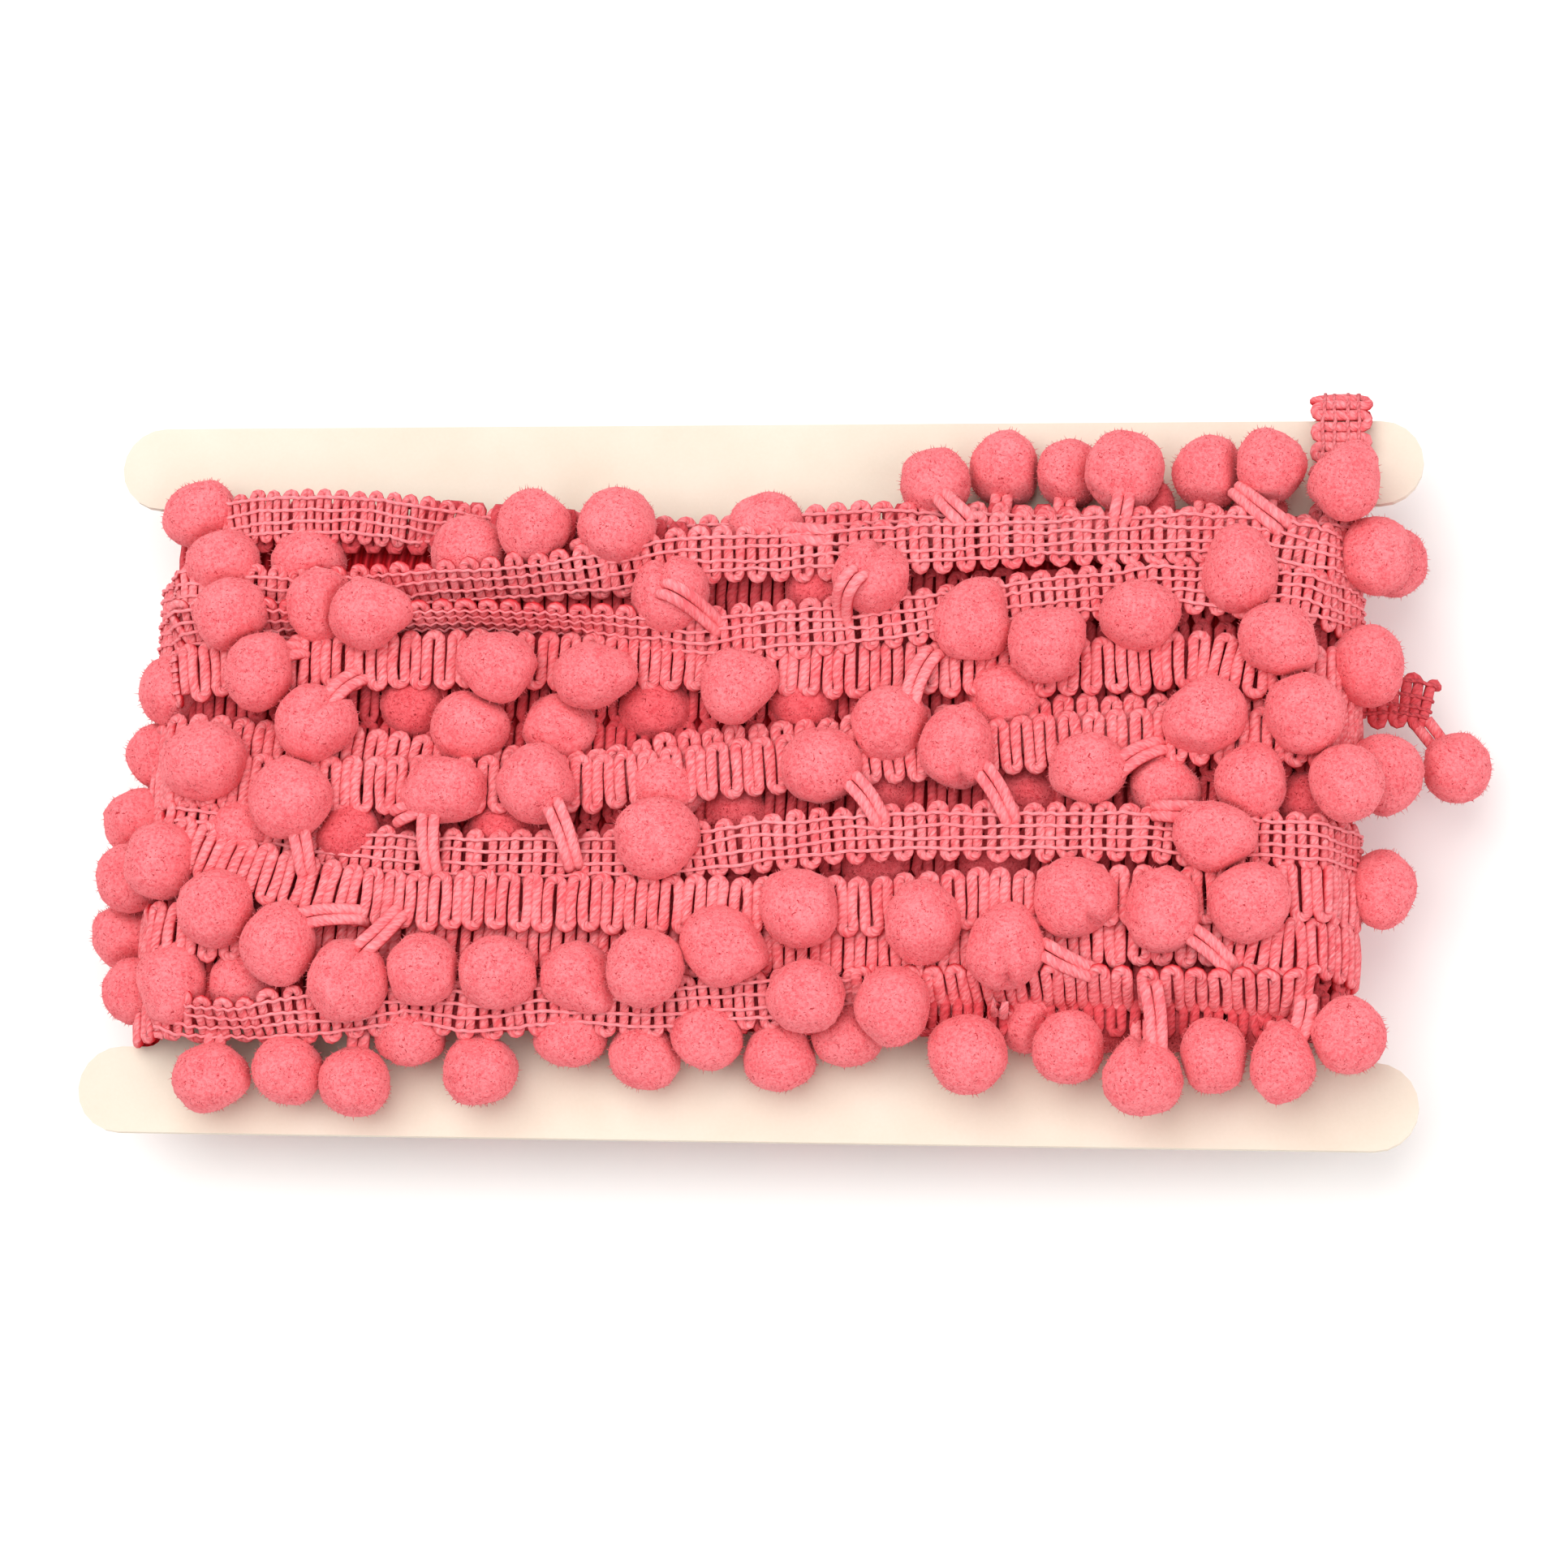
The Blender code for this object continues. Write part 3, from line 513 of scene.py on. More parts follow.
@dataclass(frozen=True)
class SpunYarn:
    """Soft cabled yarn of a coral dye: matt, with fine slanted plies and short loose hairs.

    Its flanks, where it lies against the next rib, are painted a deeper red than its crown as
    painted shade, which gives the saturated lines between the ribs. The grooves between its plies
    are painted darker as shade too. Lengths are millimetres along or round the yarn.
    """

    name: str = "spun_acrylic_yarn"
    light: str = "#FC9CA1"
    deep: str = "#DE4650"
    flank_shade: str = "#D41C28"
    sheen: str = "#FF9DA2"
    ply_twist_mm: float = 1.05
    plies: float = 1.0
    girth_mm: float = 6.2
    # Real hairs are about 0.03 mm thick, so they are drawn coarser here to show at all.
    hair_mm: float = 0.72
    hair_slant: float = 1.1
    hair_draw: float = 0.3
    hair_on_plies: float = 11.0
    hair_share: float = 1.2
    patch_mm: float = 9.0
    patch_share: float = 0.4
    first_face: float = 0.4
    twist_depth_mm: float = 0.10
    fluff_mm: float = 0.42

    def material(self) -> bpy.types.Material:
        """Build the yarn: the ply twist follows each yarn by its own length, in its UV map.

        Returns:
            The material.
        """
        made, tree = blank_material(self.name)
        spot = add_node(tree, NodeKind.SPOT)
        yarn = add_node(tree, NodeKind.UV_MAP, {"uv_map": UV_NAME})
        parts = add_node(tree, NodeKind.SPLIT, links={"Vector": yarn})
        round_it = add_node(tree, NodeKind.MATH, {"operation": 'MULTIPLY', 1: self.plies * math.tau},
                            {0: parts.outputs["X"]})
        along = add_node(tree, NodeKind.MATH,
                         {"operation": 'MULTIPLY_ADD', 1: math.tau / self.ply_twist_mm},
                         {0: parts.outputs["Y"], 2: round_it})
        girth = add_node(tree, NodeKind.MATH, {"operation": 'MULTIPLY', 1: self.girth_mm},
                         {0: parts.outputs["X"]})
        slant = add_node(tree, NodeKind.MATH, {"operation": 'MULTIPLY_ADD', 1: self.hair_slant},
                         {0: parts.outputs["Y"], 2: girth})
        drawn = add_node(tree, NodeKind.MATH, {"operation": 'MULTIPLY', 1: self.hair_draw},
                         {0: parts.outputs["Y"]})
        fibres = add_node(tree, NodeKind.JOIN, links={"X": slant, "Y": drawn})
        hair = add_node(tree, NodeKind.NOISE, {"Scale": 1 / self.hair_mm, "Detail": 3.0, "Roughness": 0.65},
                        {"Vector": fibres})
        patch = add_node(tree, NodeKind.NOISE, {"Scale": 1 / (self.patch_mm * MM), "Detail": 2.0},
                         {"Vector": spot.outputs["Object"]})
        uneven = add_node(tree, NodeKind.MATH, {"operation": 'MULTIPLY_ADD', 1: self.hair_on_plies},
                          {0: hair, 2: along})
        wave = add_node(tree, NodeKind.MATH, {"operation": 'SINE'}, {0: uneven})
        # Painted shade: the grooves between the plies are darkened towards the deep colour.
        groove = add_node(tree, NodeKind.RANGE, {"From Min": -1.0, "From Max": 0.0, "To Min": 0.62},
                          {"Value": wave})
        faded = add_node(tree, NodeKind.MATH, {"operation": 'MULTIPLY', 1: self.patch_share}, {0: patch})
        shade = add_node(tree, NodeKind.MATH, {"operation": 'MULTIPLY_ADD', 1: self.hair_share},
                         {0: hair, 2: faded})
        share = add_node(tree, NodeKind.RANGE, {"From Min": 0.56, "From Max": 0.96, "To Min": 0.1},
                         {"Value": shade})
        both = add_node(tree, NodeKind.MATH, {"operation": 'MULTIPLY'}, {0: share, 1: groove})
        colour = add_node(tree, NodeKind.MIX,
                          {"data_type": 'RGBA', 6: linear(self.deep), 7: linear(self.light)},
                          {"Factor": both})
        # Painted shade: away from its crown, each yarn turns to the darker flank colour.
        turned = add_node(tree, NodeKind.MATH,
                          {"operation": 'MULTIPLY_ADD', 1: math.tau, 2: self.first_face},
                          {0: parts.outputs["X"]})
        crown = add_node(tree, NodeKind.MATH, {"operation": 'SINE'}, {0: turned})
        bare = add_node(tree, NodeKind.RANGE, {"From Min": -0.3, "From Max": 0.55}, {"Value": crown})
        dye_and_painted_shade = add_node(tree, NodeKind.MIX, {"data_type": 'RGBA', 6: linear(self.flank_shade)},
                        {"Factor": bare, 7: colour.outputs[2]})
        twist = add_node(tree, NodeKind.BUMP, {"Strength": 0.25, "Distance": self.twist_depth_mm * MM},
                         {"Height": wave})
        bump = add_node(tree, NodeKind.BUMP, {"Strength": 1.0, "Distance": self.fluff_mm * MM},
                        {"Height": hair, "Normal": twist})
        shader = add_node(tree, NodeKind.SURFACE,
                          {"Roughness": 0.9, "Specular IOR Level": 0.05, "Sheen Weight": 0.12,
                           "Sheen Roughness": 0.5, "Sheen Tint": linear(self.sheen)},
                          {"Base Color": dye_and_painted_shade.outputs[2], "Normal": bump})
        add_node(tree, NodeKind.OUTPUT, links={"Surface": shader})
        return made


@dataclass(frozen=True)
class PackedYarn:
    """The innermost turns seen end-on between the yarns: ribs and gaps painted dark red as shade."""

    name: str = "packed_acrylic_yarn"
    crest: str = "#CE2E38"
    gap: str = "#A20C15"
    rib_mm: float = 1.92
    rib_depth_mm: float = 0.5
    sway_mm: float = 6.0
    sway_share: float = 5.0

    def material(self) -> bpy.types.Material:
        """Build the ribs: bands at the braid's own pitch that sway a little.

        Returns:
            The material.
        """
        made, tree = blank_material(self.name)
        spot = add_node(tree, NodeKind.SPOT)
        parts = add_node(tree, NodeKind.SPLIT, links={"Vector": spot.outputs["Object"]})
        sway = add_node(tree, NodeKind.NOISE, {"Scale": 1 / (self.sway_mm * MM), "Detail": 3.0},
                        {"Vector": spot.outputs["Object"]})
        bent = add_node(tree, NodeKind.MATH, {"operation": 'MULTIPLY', 1: self.sway_share}, {0: sway})
        along = add_node(tree, NodeKind.MATH,
                         {"operation": 'MULTIPLY_ADD', 1: math.tau / (self.rib_mm * MM)},
                         {0: parts.outputs["X"], 2: bent})
        wave = add_node(tree, NodeKind.MATH, {"operation": 'SINE'}, {0: along})
        share = add_node(tree, NodeKind.RANGE, {"From Min": -0.6, "From Max": 1.0}, {"Value": wave})
        colour = add_node(tree, NodeKind.MIX,
                          {"data_type": 'RGBA', 6: linear(self.gap), 7: linear(self.crest)},
                          {"Factor": share})
        bump = add_node(tree, NodeKind.BUMP, {"Strength": 1.0, "Distance": self.rib_depth_mm * MM},
                        {"Height": wave})
        shader = add_node(tree, NodeKind.SURFACE, {"Roughness": 0.95, "Specular IOR Level": 0.05},
                          {"Base Color": colour.outputs[2], "Normal": bump})
        add_node(tree, NodeKind.OUTPUT, links={"Surface": shader})
        return made


@dataclass(frozen=True)
class FeltedPile:
    """Short pile of the pompoms, cut round and felted: matt and dense, with few dark flecks."""

    name: str = "felted_acrylic_pile"
    light: str = "#F5868C"
    deep: str = "#E35A63"
    fleck: str = "#A81E28"
    sheen: str = "#FFA3A8"
    # Real fibres are about 0.02 mm thick, so their ends are drawn coarser here to show at all.
    fibre_mm: float = 0.58
    fibre_depth_mm: float = 0.22
    lump_mm: float = 3.4
    lump_depth_mm: float = 0.2
    lump_share: float = 0.3
    fleck_mm: float = 0.75

    def material(self) -> bpy.types.Material:
        """Build the pile: fine fibre ends over soft lumps, and flecks where fibres part.

        Returns:
            The material.
        """
        made, tree = blank_material(self.name)
        spot = add_node(tree, NodeKind.SPOT)
        place = {"Vector": spot.outputs["Object"]}
        fibre = add_node(tree, NodeKind.NOISE,
                         {"Scale": 1 / (self.fibre_mm * MM), "Detail": 4.0, "Roughness": 0.7}, place)
        lump = add_node(tree, NodeKind.NOISE, {"Scale": 1 / (self.lump_mm * MM), "Detail": 3.0}, place)
        cell = add_node(tree, NodeKind.NOISE,
                        {"Scale": 1 / (self.fleck_mm * MM), "Detail": 2.0, "Distortion": 2.6}, place)
        shade = add_node(tree, NodeKind.MATH, {"operation": 'MULTIPLY_ADD', 1: self.lump_share},
                         {0: lump, 2: fibre})
        share = add_node(tree, NodeKind.RANGE, {"From Min": 0.46, "From Max": 0.76}, {"Value": shade})
        colour = add_node(tree, NodeKind.MIX,
                          {"data_type": 'RGBA', 6: linear(self.deep), 7: linear(self.light)},
                          {"Factor": share})
        dots = add_node(tree, NodeKind.RANGE, {"From Min": 0.62, "From Max": 0.66, "To Max": 0.85},
                        {"Value": cell})
        flecked = add_node(tree, NodeKind.MIX, {"data_type": 'RGBA', 7: linear(self.fleck)},
                           {"Factor": dots, 6: colour.outputs[2]})
        soft = add_node(tree, NodeKind.BUMP, {"Strength": 0.4, "Distance": self.lump_depth_mm * MM},
                        {"Height": lump})
        bump = add_node(tree, NodeKind.BUMP, {"Strength": 0.7, "Distance": self.fibre_depth_mm * MM},
                        {"Height": fibre, "Normal": soft})
        shader = add_node(tree, NodeKind.SURFACE,
                          {"Roughness": 0.95, "Specular IOR Level": 0.08, "Sheen Weight": 0.42,
                           "Sheen Roughness": 0.45, "Sheen Tint": linear(self.sheen)},
                          {"Base Color": flecked.outputs[2], "Normal": bump})
        add_node(tree, NodeKind.OUTPUT, links={"Surface": shader})
        return made


@dataclass(frozen=True)
class UncoatedBoard:
    """Cream uncoated board: matt, with a faint fibre mottle that breaks the flat of the light."""

    name: str = "cream_uncoated_board"
    light: str = "#E4D9CA"
    deep: str = "#DDD0BF"
    # Real fibres are finer, so they are drawn coarser here to show at all.
    fibre_mm: float = 0.5
    fibre_depth_mm: float = 0.05
    fibre_share: float = 0.4
    cloud_mm: float = 14.0

    def material(self) -> bpy.types.Material:
        """Build the board from a fine fibre noise over a slow cloudy one.

        Returns:
            The material.
        """
        made, tree = blank_material(self.name)
        spot = add_node(tree, NodeKind.SPOT)
        place = {"Vector": spot.outputs["Object"]}
        fibre = add_node(tree, NodeKind.NOISE, {"Scale": 1 / (self.fibre_mm * MM), "Detail": 3.0}, place)
        cloud = add_node(tree, NodeKind.NOISE, {"Scale": 1 / (self.cloud_mm * MM), "Detail": 2.0}, place)
        both = add_node(tree, NodeKind.MATH, {"operation": 'MULTIPLY_ADD', 1: self.fibre_share},
                        {0: fibre, 2: cloud})
        share = add_node(tree, NodeKind.RANGE, {"From Min": 0.4, "From Max": 1.0}, {"Value": both})
        colour = add_node(tree, NodeKind.MIX,
                          {"data_type": 'RGBA', 6: linear(self.deep), 7: linear(self.light)},
                          {"Factor": share})
        bump = add_node(tree, NodeKind.BUMP, {"Strength": 0.25, "Distance": self.fibre_depth_mm * MM},
                        {"Height": fibre})
        shader = add_node(tree, NodeKind.SURFACE, {"Roughness": 0.8, "Specular IOR Level": 0.3},
                          {"Base Color": colour.outputs[2], "Normal": bump})
        add_node(tree, NodeKind.OUTPUT, links={"Surface": shader})
        return made


@dataclass(frozen=True)
class StudioPaper:
    """A pale roll of background paper: even and matt."""

    name: str = "pale_studio_paper"
    colour: str = "#FAFAF9"

    def material(self) -> bpy.types.Material:
        """Build the plain paper of the floor.

        Returns:
            The material.
        """
        made, tree = blank_material(self.name)
        shader = add_node(tree, NodeKind.SURFACE,
                          {"Base Color": linear(self.colour), "Roughness": 0.95,
                           "Specular IOR Level": 0.1})
        add_node(tree, NodeKind.OUTPUT, links={"Surface": shader})
        return made


class Stock:
    """Points and faces gathered in millimetres until they become one mesh."""

    def __init__(self) -> None:
        """Start with nothing gathered."""
        self.points: list[np.ndarray] = []
        self.fours: list[np.ndarray] = []
        self.four_marks: list[np.ndarray] = []
        self.threes: list[np.ndarray] = []
        self.count = 0

    def add(self, points: np.ndarray, threes: np.ndarray, fours: np.ndarray | None = None,
            marks: np.ndarray | None = None) -> None:
        """Gather one closed shape.

        Args:
            points: Its corners, one row each.
            threes: Its three-sided faces as rows of corner numbers.
            fours: Its four-sided faces as rows of corner numbers.
            marks: For each of those, the four corners' places round and along the yarn.
        """
        if fours is None:
            fours = np.zeros((0, 4), int)
        if marks is None:
            marks = np.zeros((len(fours), 4, 2))
        self.points.append(points)
        self.fours.append(fours + self.count)
        self.four_marks.append(marks)
        self.threes.append(threes + self.count)
        self.count += len(points)

    def make(self, name: str, material: bpy.types.Material) -> bpy.types.Object:
        """Turn what was gathered into one smooth-shaded object.

        Args:
            name: The object's name.
            material: What it is made of.

        Returns:
            The object, linked to the scene and riding on the part's body.
        """
        points = np.concatenate(self.points) * MM
        fours = np.concatenate(self.fours).reshape(-1)
        threes = np.concatenate(self.threes).reshape(-1)
        corners = np.concatenate([fours, threes]).astype(np.int32)
        starts = np.concatenate([np.arange(0, len(fours), 4),
                                 len(fours) + np.arange(0, len(threes), 3)]).astype(np.int32)
        mesh = bpy.data.meshes.new(name)
        mesh.vertices.add(len(points))
        mesh.vertices.foreach_set("co", points.astype(np.float32).reshape(-1))
        mesh.loops.add(len(corners))
        mesh.loops.foreach_set("vertex_index", corners)
        mesh.polygons.add(len(starts))
        mesh.polygons.foreach_set("loop_start", starts)
        mesh.update(calc_edges=True)
        marks = np.zeros((len(corners), 2), np.float32)
        marks[:len(fours)] = np.concatenate(self.four_marks).reshape(-1, 2)
        layer = mesh.uv_layers.new(name=UV_NAME)
        layer.data.foreach_set("uv", marks.reshape(-1))
        mesh.validate()
        mesh.shade_smooth()
        mesh.materials.append(material)
        made = bpy.data.objects.new(name, mesh)
        bpy.context.scene.collection.objects.link(made)
        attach(made, BODY)
        log.info("%s: %d triangles", name, 2 * (len(fours) // 4) + len(threes) // 3)
        return made


def unit(rows: np.ndarray) -> np.ndarray:
    """Scale each row to a length of one."""
    return rows / np.maximum(np.linalg.norm(rows, axis=-1, keepdims=True), 1e-9)


def any_way(luck: np.random.Generator) -> np.ndarray:
    """Draw a direction of length one."""
    way = luck.normal(size=3)
    return way / np.linalg.norm(way)


def bands(rings: int, sides: int) -> np.ndarray:
    """Join closed rings of corners one after another with four-sided faces.

    Args:
        rings: Number of rings.
        sides: Number of corners in each.

    Returns:
        The faces as rows of corner numbers.
    """
    row = np.arange(rings - 1)[:, None] * sides
    here = np.arange(sides)[None, :]
    after = (here + 1) % sides
    return np.stack([row + here, row + here + sides, row + after + sides, row + after],
                    axis=-1).reshape(-1, 4)


def tube(stock: Stock, line: np.ndarray, out: np.ndarray, half_across: np.ndarray | float,
         half_out: np.ndarray | float, sides: int) -> None:
    """Sweep an oval section along a line and close its ends.

    Args:
        stock: Where the faces go.
        line: Places along the middle, one row each.
        out: Direction of the section's second half-width at each place.
        half_across: Half-width across the line, in the braid's plane.
        half_out: Half-width out of that plane.
        sides: Number of faces round.
    """
    count = len(line)
    along = unit(np.gradient(line, axis=0))
    side = unit(np.cross(along, out))
    lift = np.cross(side, along)
    turn = math.tau * (np.arange(sides) + 0.5) / sides
    across = np.broadcast_to(np.asarray(half_across, float), (count,))[:, None, None]
    rise = np.broadcast_to(np.asarray(half_out, float), (count,))[:, None, None]
    ring = (line[:, None, :] + side[:, None, :] * np.cos(turn)[None, :, None] * across
            + lift[:, None, :] * np.sin(turn)[None, :, None] * rise)
    points = np.concatenate([ring.reshape(-1, 3), line[:1], line[-1:]])
    here = np.arange(sides)
    after = (here + 1) % sides
    length = np.concatenate([[0.0], np.cumsum(np.linalg.norm(np.diff(line, axis=0), axis=1))])
    low = np.broadcast_to(length[:-1, None], (count - 1, sides))
    high = np.broadcast_to(length[1:, None], (count - 1, sides))
    left = np.broadcast_to(here / sides, (count - 1, sides))
    right = np.broadcast_to((here + 1) / sides, (count - 1, sides))
    marks = np.stack([np.stack([left, low], -1), np.stack([left, high], -1),
                      np.stack([right, high], -1), np.stack([right, low], -1)],
                     axis=2).reshape(-1, 4, 2)
    first = count * sides
    last = (count - 1) * sides
    ends = [np.stack([np.full(sides, first), here, after], -1),
            np.stack([np.full(sides, first + 1), last + after, last + here], -1)]
    stock.add(points, np.concatenate(ends), bands(count, sides), marks)


class Lay:
    """A smooth line through given places, with the braid's outward direction along it."""

    def __init__(self, rows: list[Row], step: float = 0.5) -> None:
        """Draw the line.

        Args:
            rows: Pairs of a place in millimetres and the outward direction there.
            step: Distance between the points it is kept at.
        """
        places = np.array([row[0] for row in rows], float)
        outs = np.array([row[1] for row in rows], float)
        knots = np.concatenate([[0.0], np.cumsum(np.linalg.norm(np.diff(places, axis=0), axis=1))])
        fine = np.arange(0.0, knots[-1], step)
        line = self.curve(knots, places, fine)
        self.length_at = np.concatenate([[0.0], np.cumsum(np.linalg.norm(np.diff(line, axis=0), axis=1))])
        self.length = float(self.length_at[-1])
        self.knots = np.interp(knots, fine, self.length_at)
        self.line = line
        along = unit(np.gradient(line, axis=0))
        out = np.stack([np.interp(fine, knots, outs[:, axis]) for axis in range(3)], -1)
        self.out = unit(out - along * np.sum(out * along, axis=1, keepdims=True))
        self.across = np.cross(self.out, along)

    @staticmethod
    def curve(knots: np.ndarray, places: np.ndarray, fine: np.ndarray) -> np.ndarray:
        """Pass a smooth curve through places.

        Args:
            knots: Distance of each place along the line.
            places: The places.
            fine: Distances at which the curve is wanted.

        Returns:
            The curve's place at each of those distances.
        """
        slope = np.zeros_like(places)
        slope[1:-1] = (places[2:] - places[:-2]) / (knots[2:] - knots[:-2])[:, None]
        slope[0] = (places[1] - places[0]) / (knots[1] - knots[0])
        slope[-1] = (places[-1] - places[-2]) / (knots[-1] - knots[-2])
        index = np.clip(np.searchsorted(knots, fine, side="right") - 1, 0, len(knots) - 2)
        span = (knots[index + 1] - knots[index])[:, None]
        share = (fine[:, None] - knots[index][:, None]) / span
        square, cube = share ** 2, share ** 3
        return ((2 * cube - 3 * square + 1) * places[index]
                + (cube - 2 * square + share) * span * slope[index]
                + (3 * square - 2 * cube) * places[index + 1]
                + (cube - square) * span * slope[index + 1])

    def at(self, along: np.ndarray, across: np.ndarray, out: np.ndarray) -> tuple[np.ndarray, np.ndarray]:
        """Carry places in the braid's own plane to the line.

        Args:
            along: Distance along the line.
            across: Distance across the braid from its middle.
            out: Distance outward from the braid's middle.

        Returns:
            The places, and the outward direction at each.
        """
        def take(rows: np.ndarray) -> np.ndarray:
            """Read rows that follow the line at the wanted distances."""
            return np.stack([np.interp(along, self.length_at, rows[:, axis]) for axis in range(3)], -1)
        out_here = unit(take(self.out))
        place = take(self.line) + across[:, None] * take(self.across) + out[:, None] * out_here
        return place, out_here


@dataclass
class Braid:
    """The braid: one thick yarn laid to and fro, and fine warp yarns along it.

    Each stray is how far a rib or yarn lies off its place, as a standard deviation.
    """

    width: float = 10.3
    yarn: float = 1.84
    yarn_flat: float = 0.92
    rib_pitch: float = 1.92
    mesh_half_across: float = 0.80
    mesh_half_out: float = 0.66
    rib_steps: tuple[float, ...] = (-1.0, -0.34, 0.34, 1.0)
    coarse_rib_steps: tuple[float, ...] = (-1.0, 0.0, 1.0)
    loop_turns: tuple[float, ...] = (16.0, 53.0, 90.0, 127.0, 164.0)
    coarse_loop_turns: tuple[float, ...] = (45.0, 135.0)
    crown_lift: float = 0.14
    loop_drop: float = 0.22
    place_stray: float = 0.12
    bow_stray: float = 0.13
    reach_stray: float = 0.16
    lift_stray: float = 0.07
    plump_stray: float = 0.05
    warp: float = 0.66
    warp_flat: float = 0.8
    warp_rows: tuple[float, ...] = (-2.95, -1.0, 1.0, 2.95)
    warp_clear: float = 0.12
    warp_wave: float = 0.24
    warp_swap: float = 0.12
    warp_drift: float = 0.2
    warp_stray: float = 0.07
    sides: int = 8
    coarse_sides: int = 5
    warp_sides: int = 6
    seed: int = 5
    warp_seed: int = 105

    def weft(self, stock: Stock, lay: Lay, start: float, end: float, mesh_up: np.ndarray,
             fine: bool = True) -> None:
        """Lay the thick yarn to and fro along a stretch of line.

        Args:
            stock: Where the faces go.
            lay: The line that the braid follows.
            start: Distance along it where the stretch starts.
            end: Distance where it ends.
            mesh_up: For each rib, whether the mesh face looks outward.
            fine: Whether each rib gets its full number of points.
        """
        count = len(mesh_up)
        luck = np.random.default_rng(self.seed + int(start * 7))
        half = (self.width - self.yarn - self.rib_pitch) / 2
        bend = self.rib_pitch / 2
        way = np.where(np.arange(count) % 2 == 0, 1.0, -1.0)
        middle = start + (np.arange(count) + 0.5) * (end - start) / count
        slim = self.mesh_half_across * min(1.0, (end - start) / count / self.rib_pitch)
        middle = middle + luck.normal(0, self.place_stray, count)
        bow = luck.normal(0, self.bow_stray, count)
        reach = half + luck.normal(0, self.reach_stray, count)
        lift = luck.normal(0, self.lift_stray, count)
        rows = []
        for step in self.rib_steps if fine else self.coarse_rib_steps:
            crown = 1 - step ** 2
            rows.append((middle + bow * crown, way * reach * step, lift + self.crown_lift * crown))
        after = np.append(middle[1:], middle[-1] + self.rib_pitch)
        centre, radius = (middle + after) / 2, (after - middle) / 2
        for turn in np.radians(self.loop_turns if fine else self.coarse_loop_turns):
            along = centre - radius * math.cos(turn)
            across = way * (reach + bend * math.sin(turn))
            rows.append((along, across, lift - self.loop_drop * math.sin(turn)))
        along, across, out = (np.stack([row[part] for row in rows], -1).reshape(-1) for part in range(3))
        place, out_here = lay.at(along, across, out)
        mesh = np.repeat(mesh_up, len(rows)).astype(float)
        plain = self.yarn / 2
        flat = plain * self.yarn_flat
        plump = 1 + luck.normal(0, self.plump_stray, len(place))
        half_across = (plain + (slim - plain) * mesh) * plump
        half_out = (flat + (self.mesh_half_out - flat) * mesh) * plump
        tube(stock, place, out_here, half_across, half_out, self.sides if fine else self.coarse_sides)

    def warps(self, stock: Stock, lay: Lay, start: float, end: float, ribs: int) -> None:
        """Lay the fine warp yarns over the ribs of a stretch of line.

        Args:
            stock: Where the faces go.
            lay: The line that the braid follows.
            start: Distance along it where the stretch starts.
            end: Distance where it ends.
            ribs: Number of ribs in the stretch.
        """
        luck = np.random.default_rng(self.warp_seed + int(start * 3))
        steps = np.arange(2 * ribs + 1) / 2
        along = start + steps * (end - start) / ribs
        for number, row in enumerate(self.warp_rows):
            drift = luck.normal(0, self.warp_drift, len(along[::5]))
            sway = np.interp(along, along[::5], drift) + luck.normal(0, self.warp_stray, len(along))
            wave = self.warp_wave * np.cos((steps + 0.5) * math.tau)
            swap = self.warp_swap * ((np.arange(len(steps)) // 2 + number) % 2)
            out = self.mesh_half_out + self.warp_clear + (wave - swap)
            place, out_here = lay.at(along, row + sway, out)
            half = self.warp / 2
            tube(stock, place, out_here, half, half * self.warp_flat, self.warp_sides)


@dataclass
class PackedTurns:
    """The innermost turns as one closed form, seen only as depth between the yarns."""

    card: CardSize
    finish: PackedYarn = PackedYarn()
    profile: tuple[tuple[float, float], ...] = (
        (98.0, 0.0), (97.2, 3.2), (93.5, 5.6), (86.0, 7.0), (45.0, 7.4), (0.0, 7.5))
    low: float = -43.0
    high: float = 41.8
    rings: int = 24
    middle: float = -1.7
    reach: float = 44.0
    squareness: int = 8
    ripple: float = 0.02
    ripple_pitch: float = 8.6

    def build(self) -> bpy.types.Object:
        """Build the form from its profile, drawn in towards its two ends.

        Returns:
            The piece.
        """
        edge = list(self.profile)
        edge += [(-x, height) for x, height in reversed(self.profile[:-1])]
        edge += [(x, -height) for x, height in reversed(edge[1:-1])]
        points = []
        for y in np.linspace(self.low, self.high, self.rings):
            share = math.sqrt(max(0.0, 1 - (abs(y - self.middle) / self.reach) ** self.squareness))
            sway = 1 + self.ripple * math.cos(y * math.tau / self.ripple_pitch)
            for x, height in edge:
                level = (self.card.half + abs(height)) * share * sway * (1 if height >= 0 else -1)
                points.append((x, y, self.card.middle + (0.0 if height == 0 else level)))
        sides = len(edge)
        last = (self.rings - 1) * sides
        ends = [(0, index, index + 1) for index in range(1, sides - 1)]
        ends += [(last, last + index + 1, last + index) for index in range(1, sides - 1)]
        stock = Stock()
        stock.add(np.array(points, float), np.array(ends)[:, ::-1], bands(self.rings, sides)[:, ::-1])
        return stock.make("packed_turns", self.finish.material())


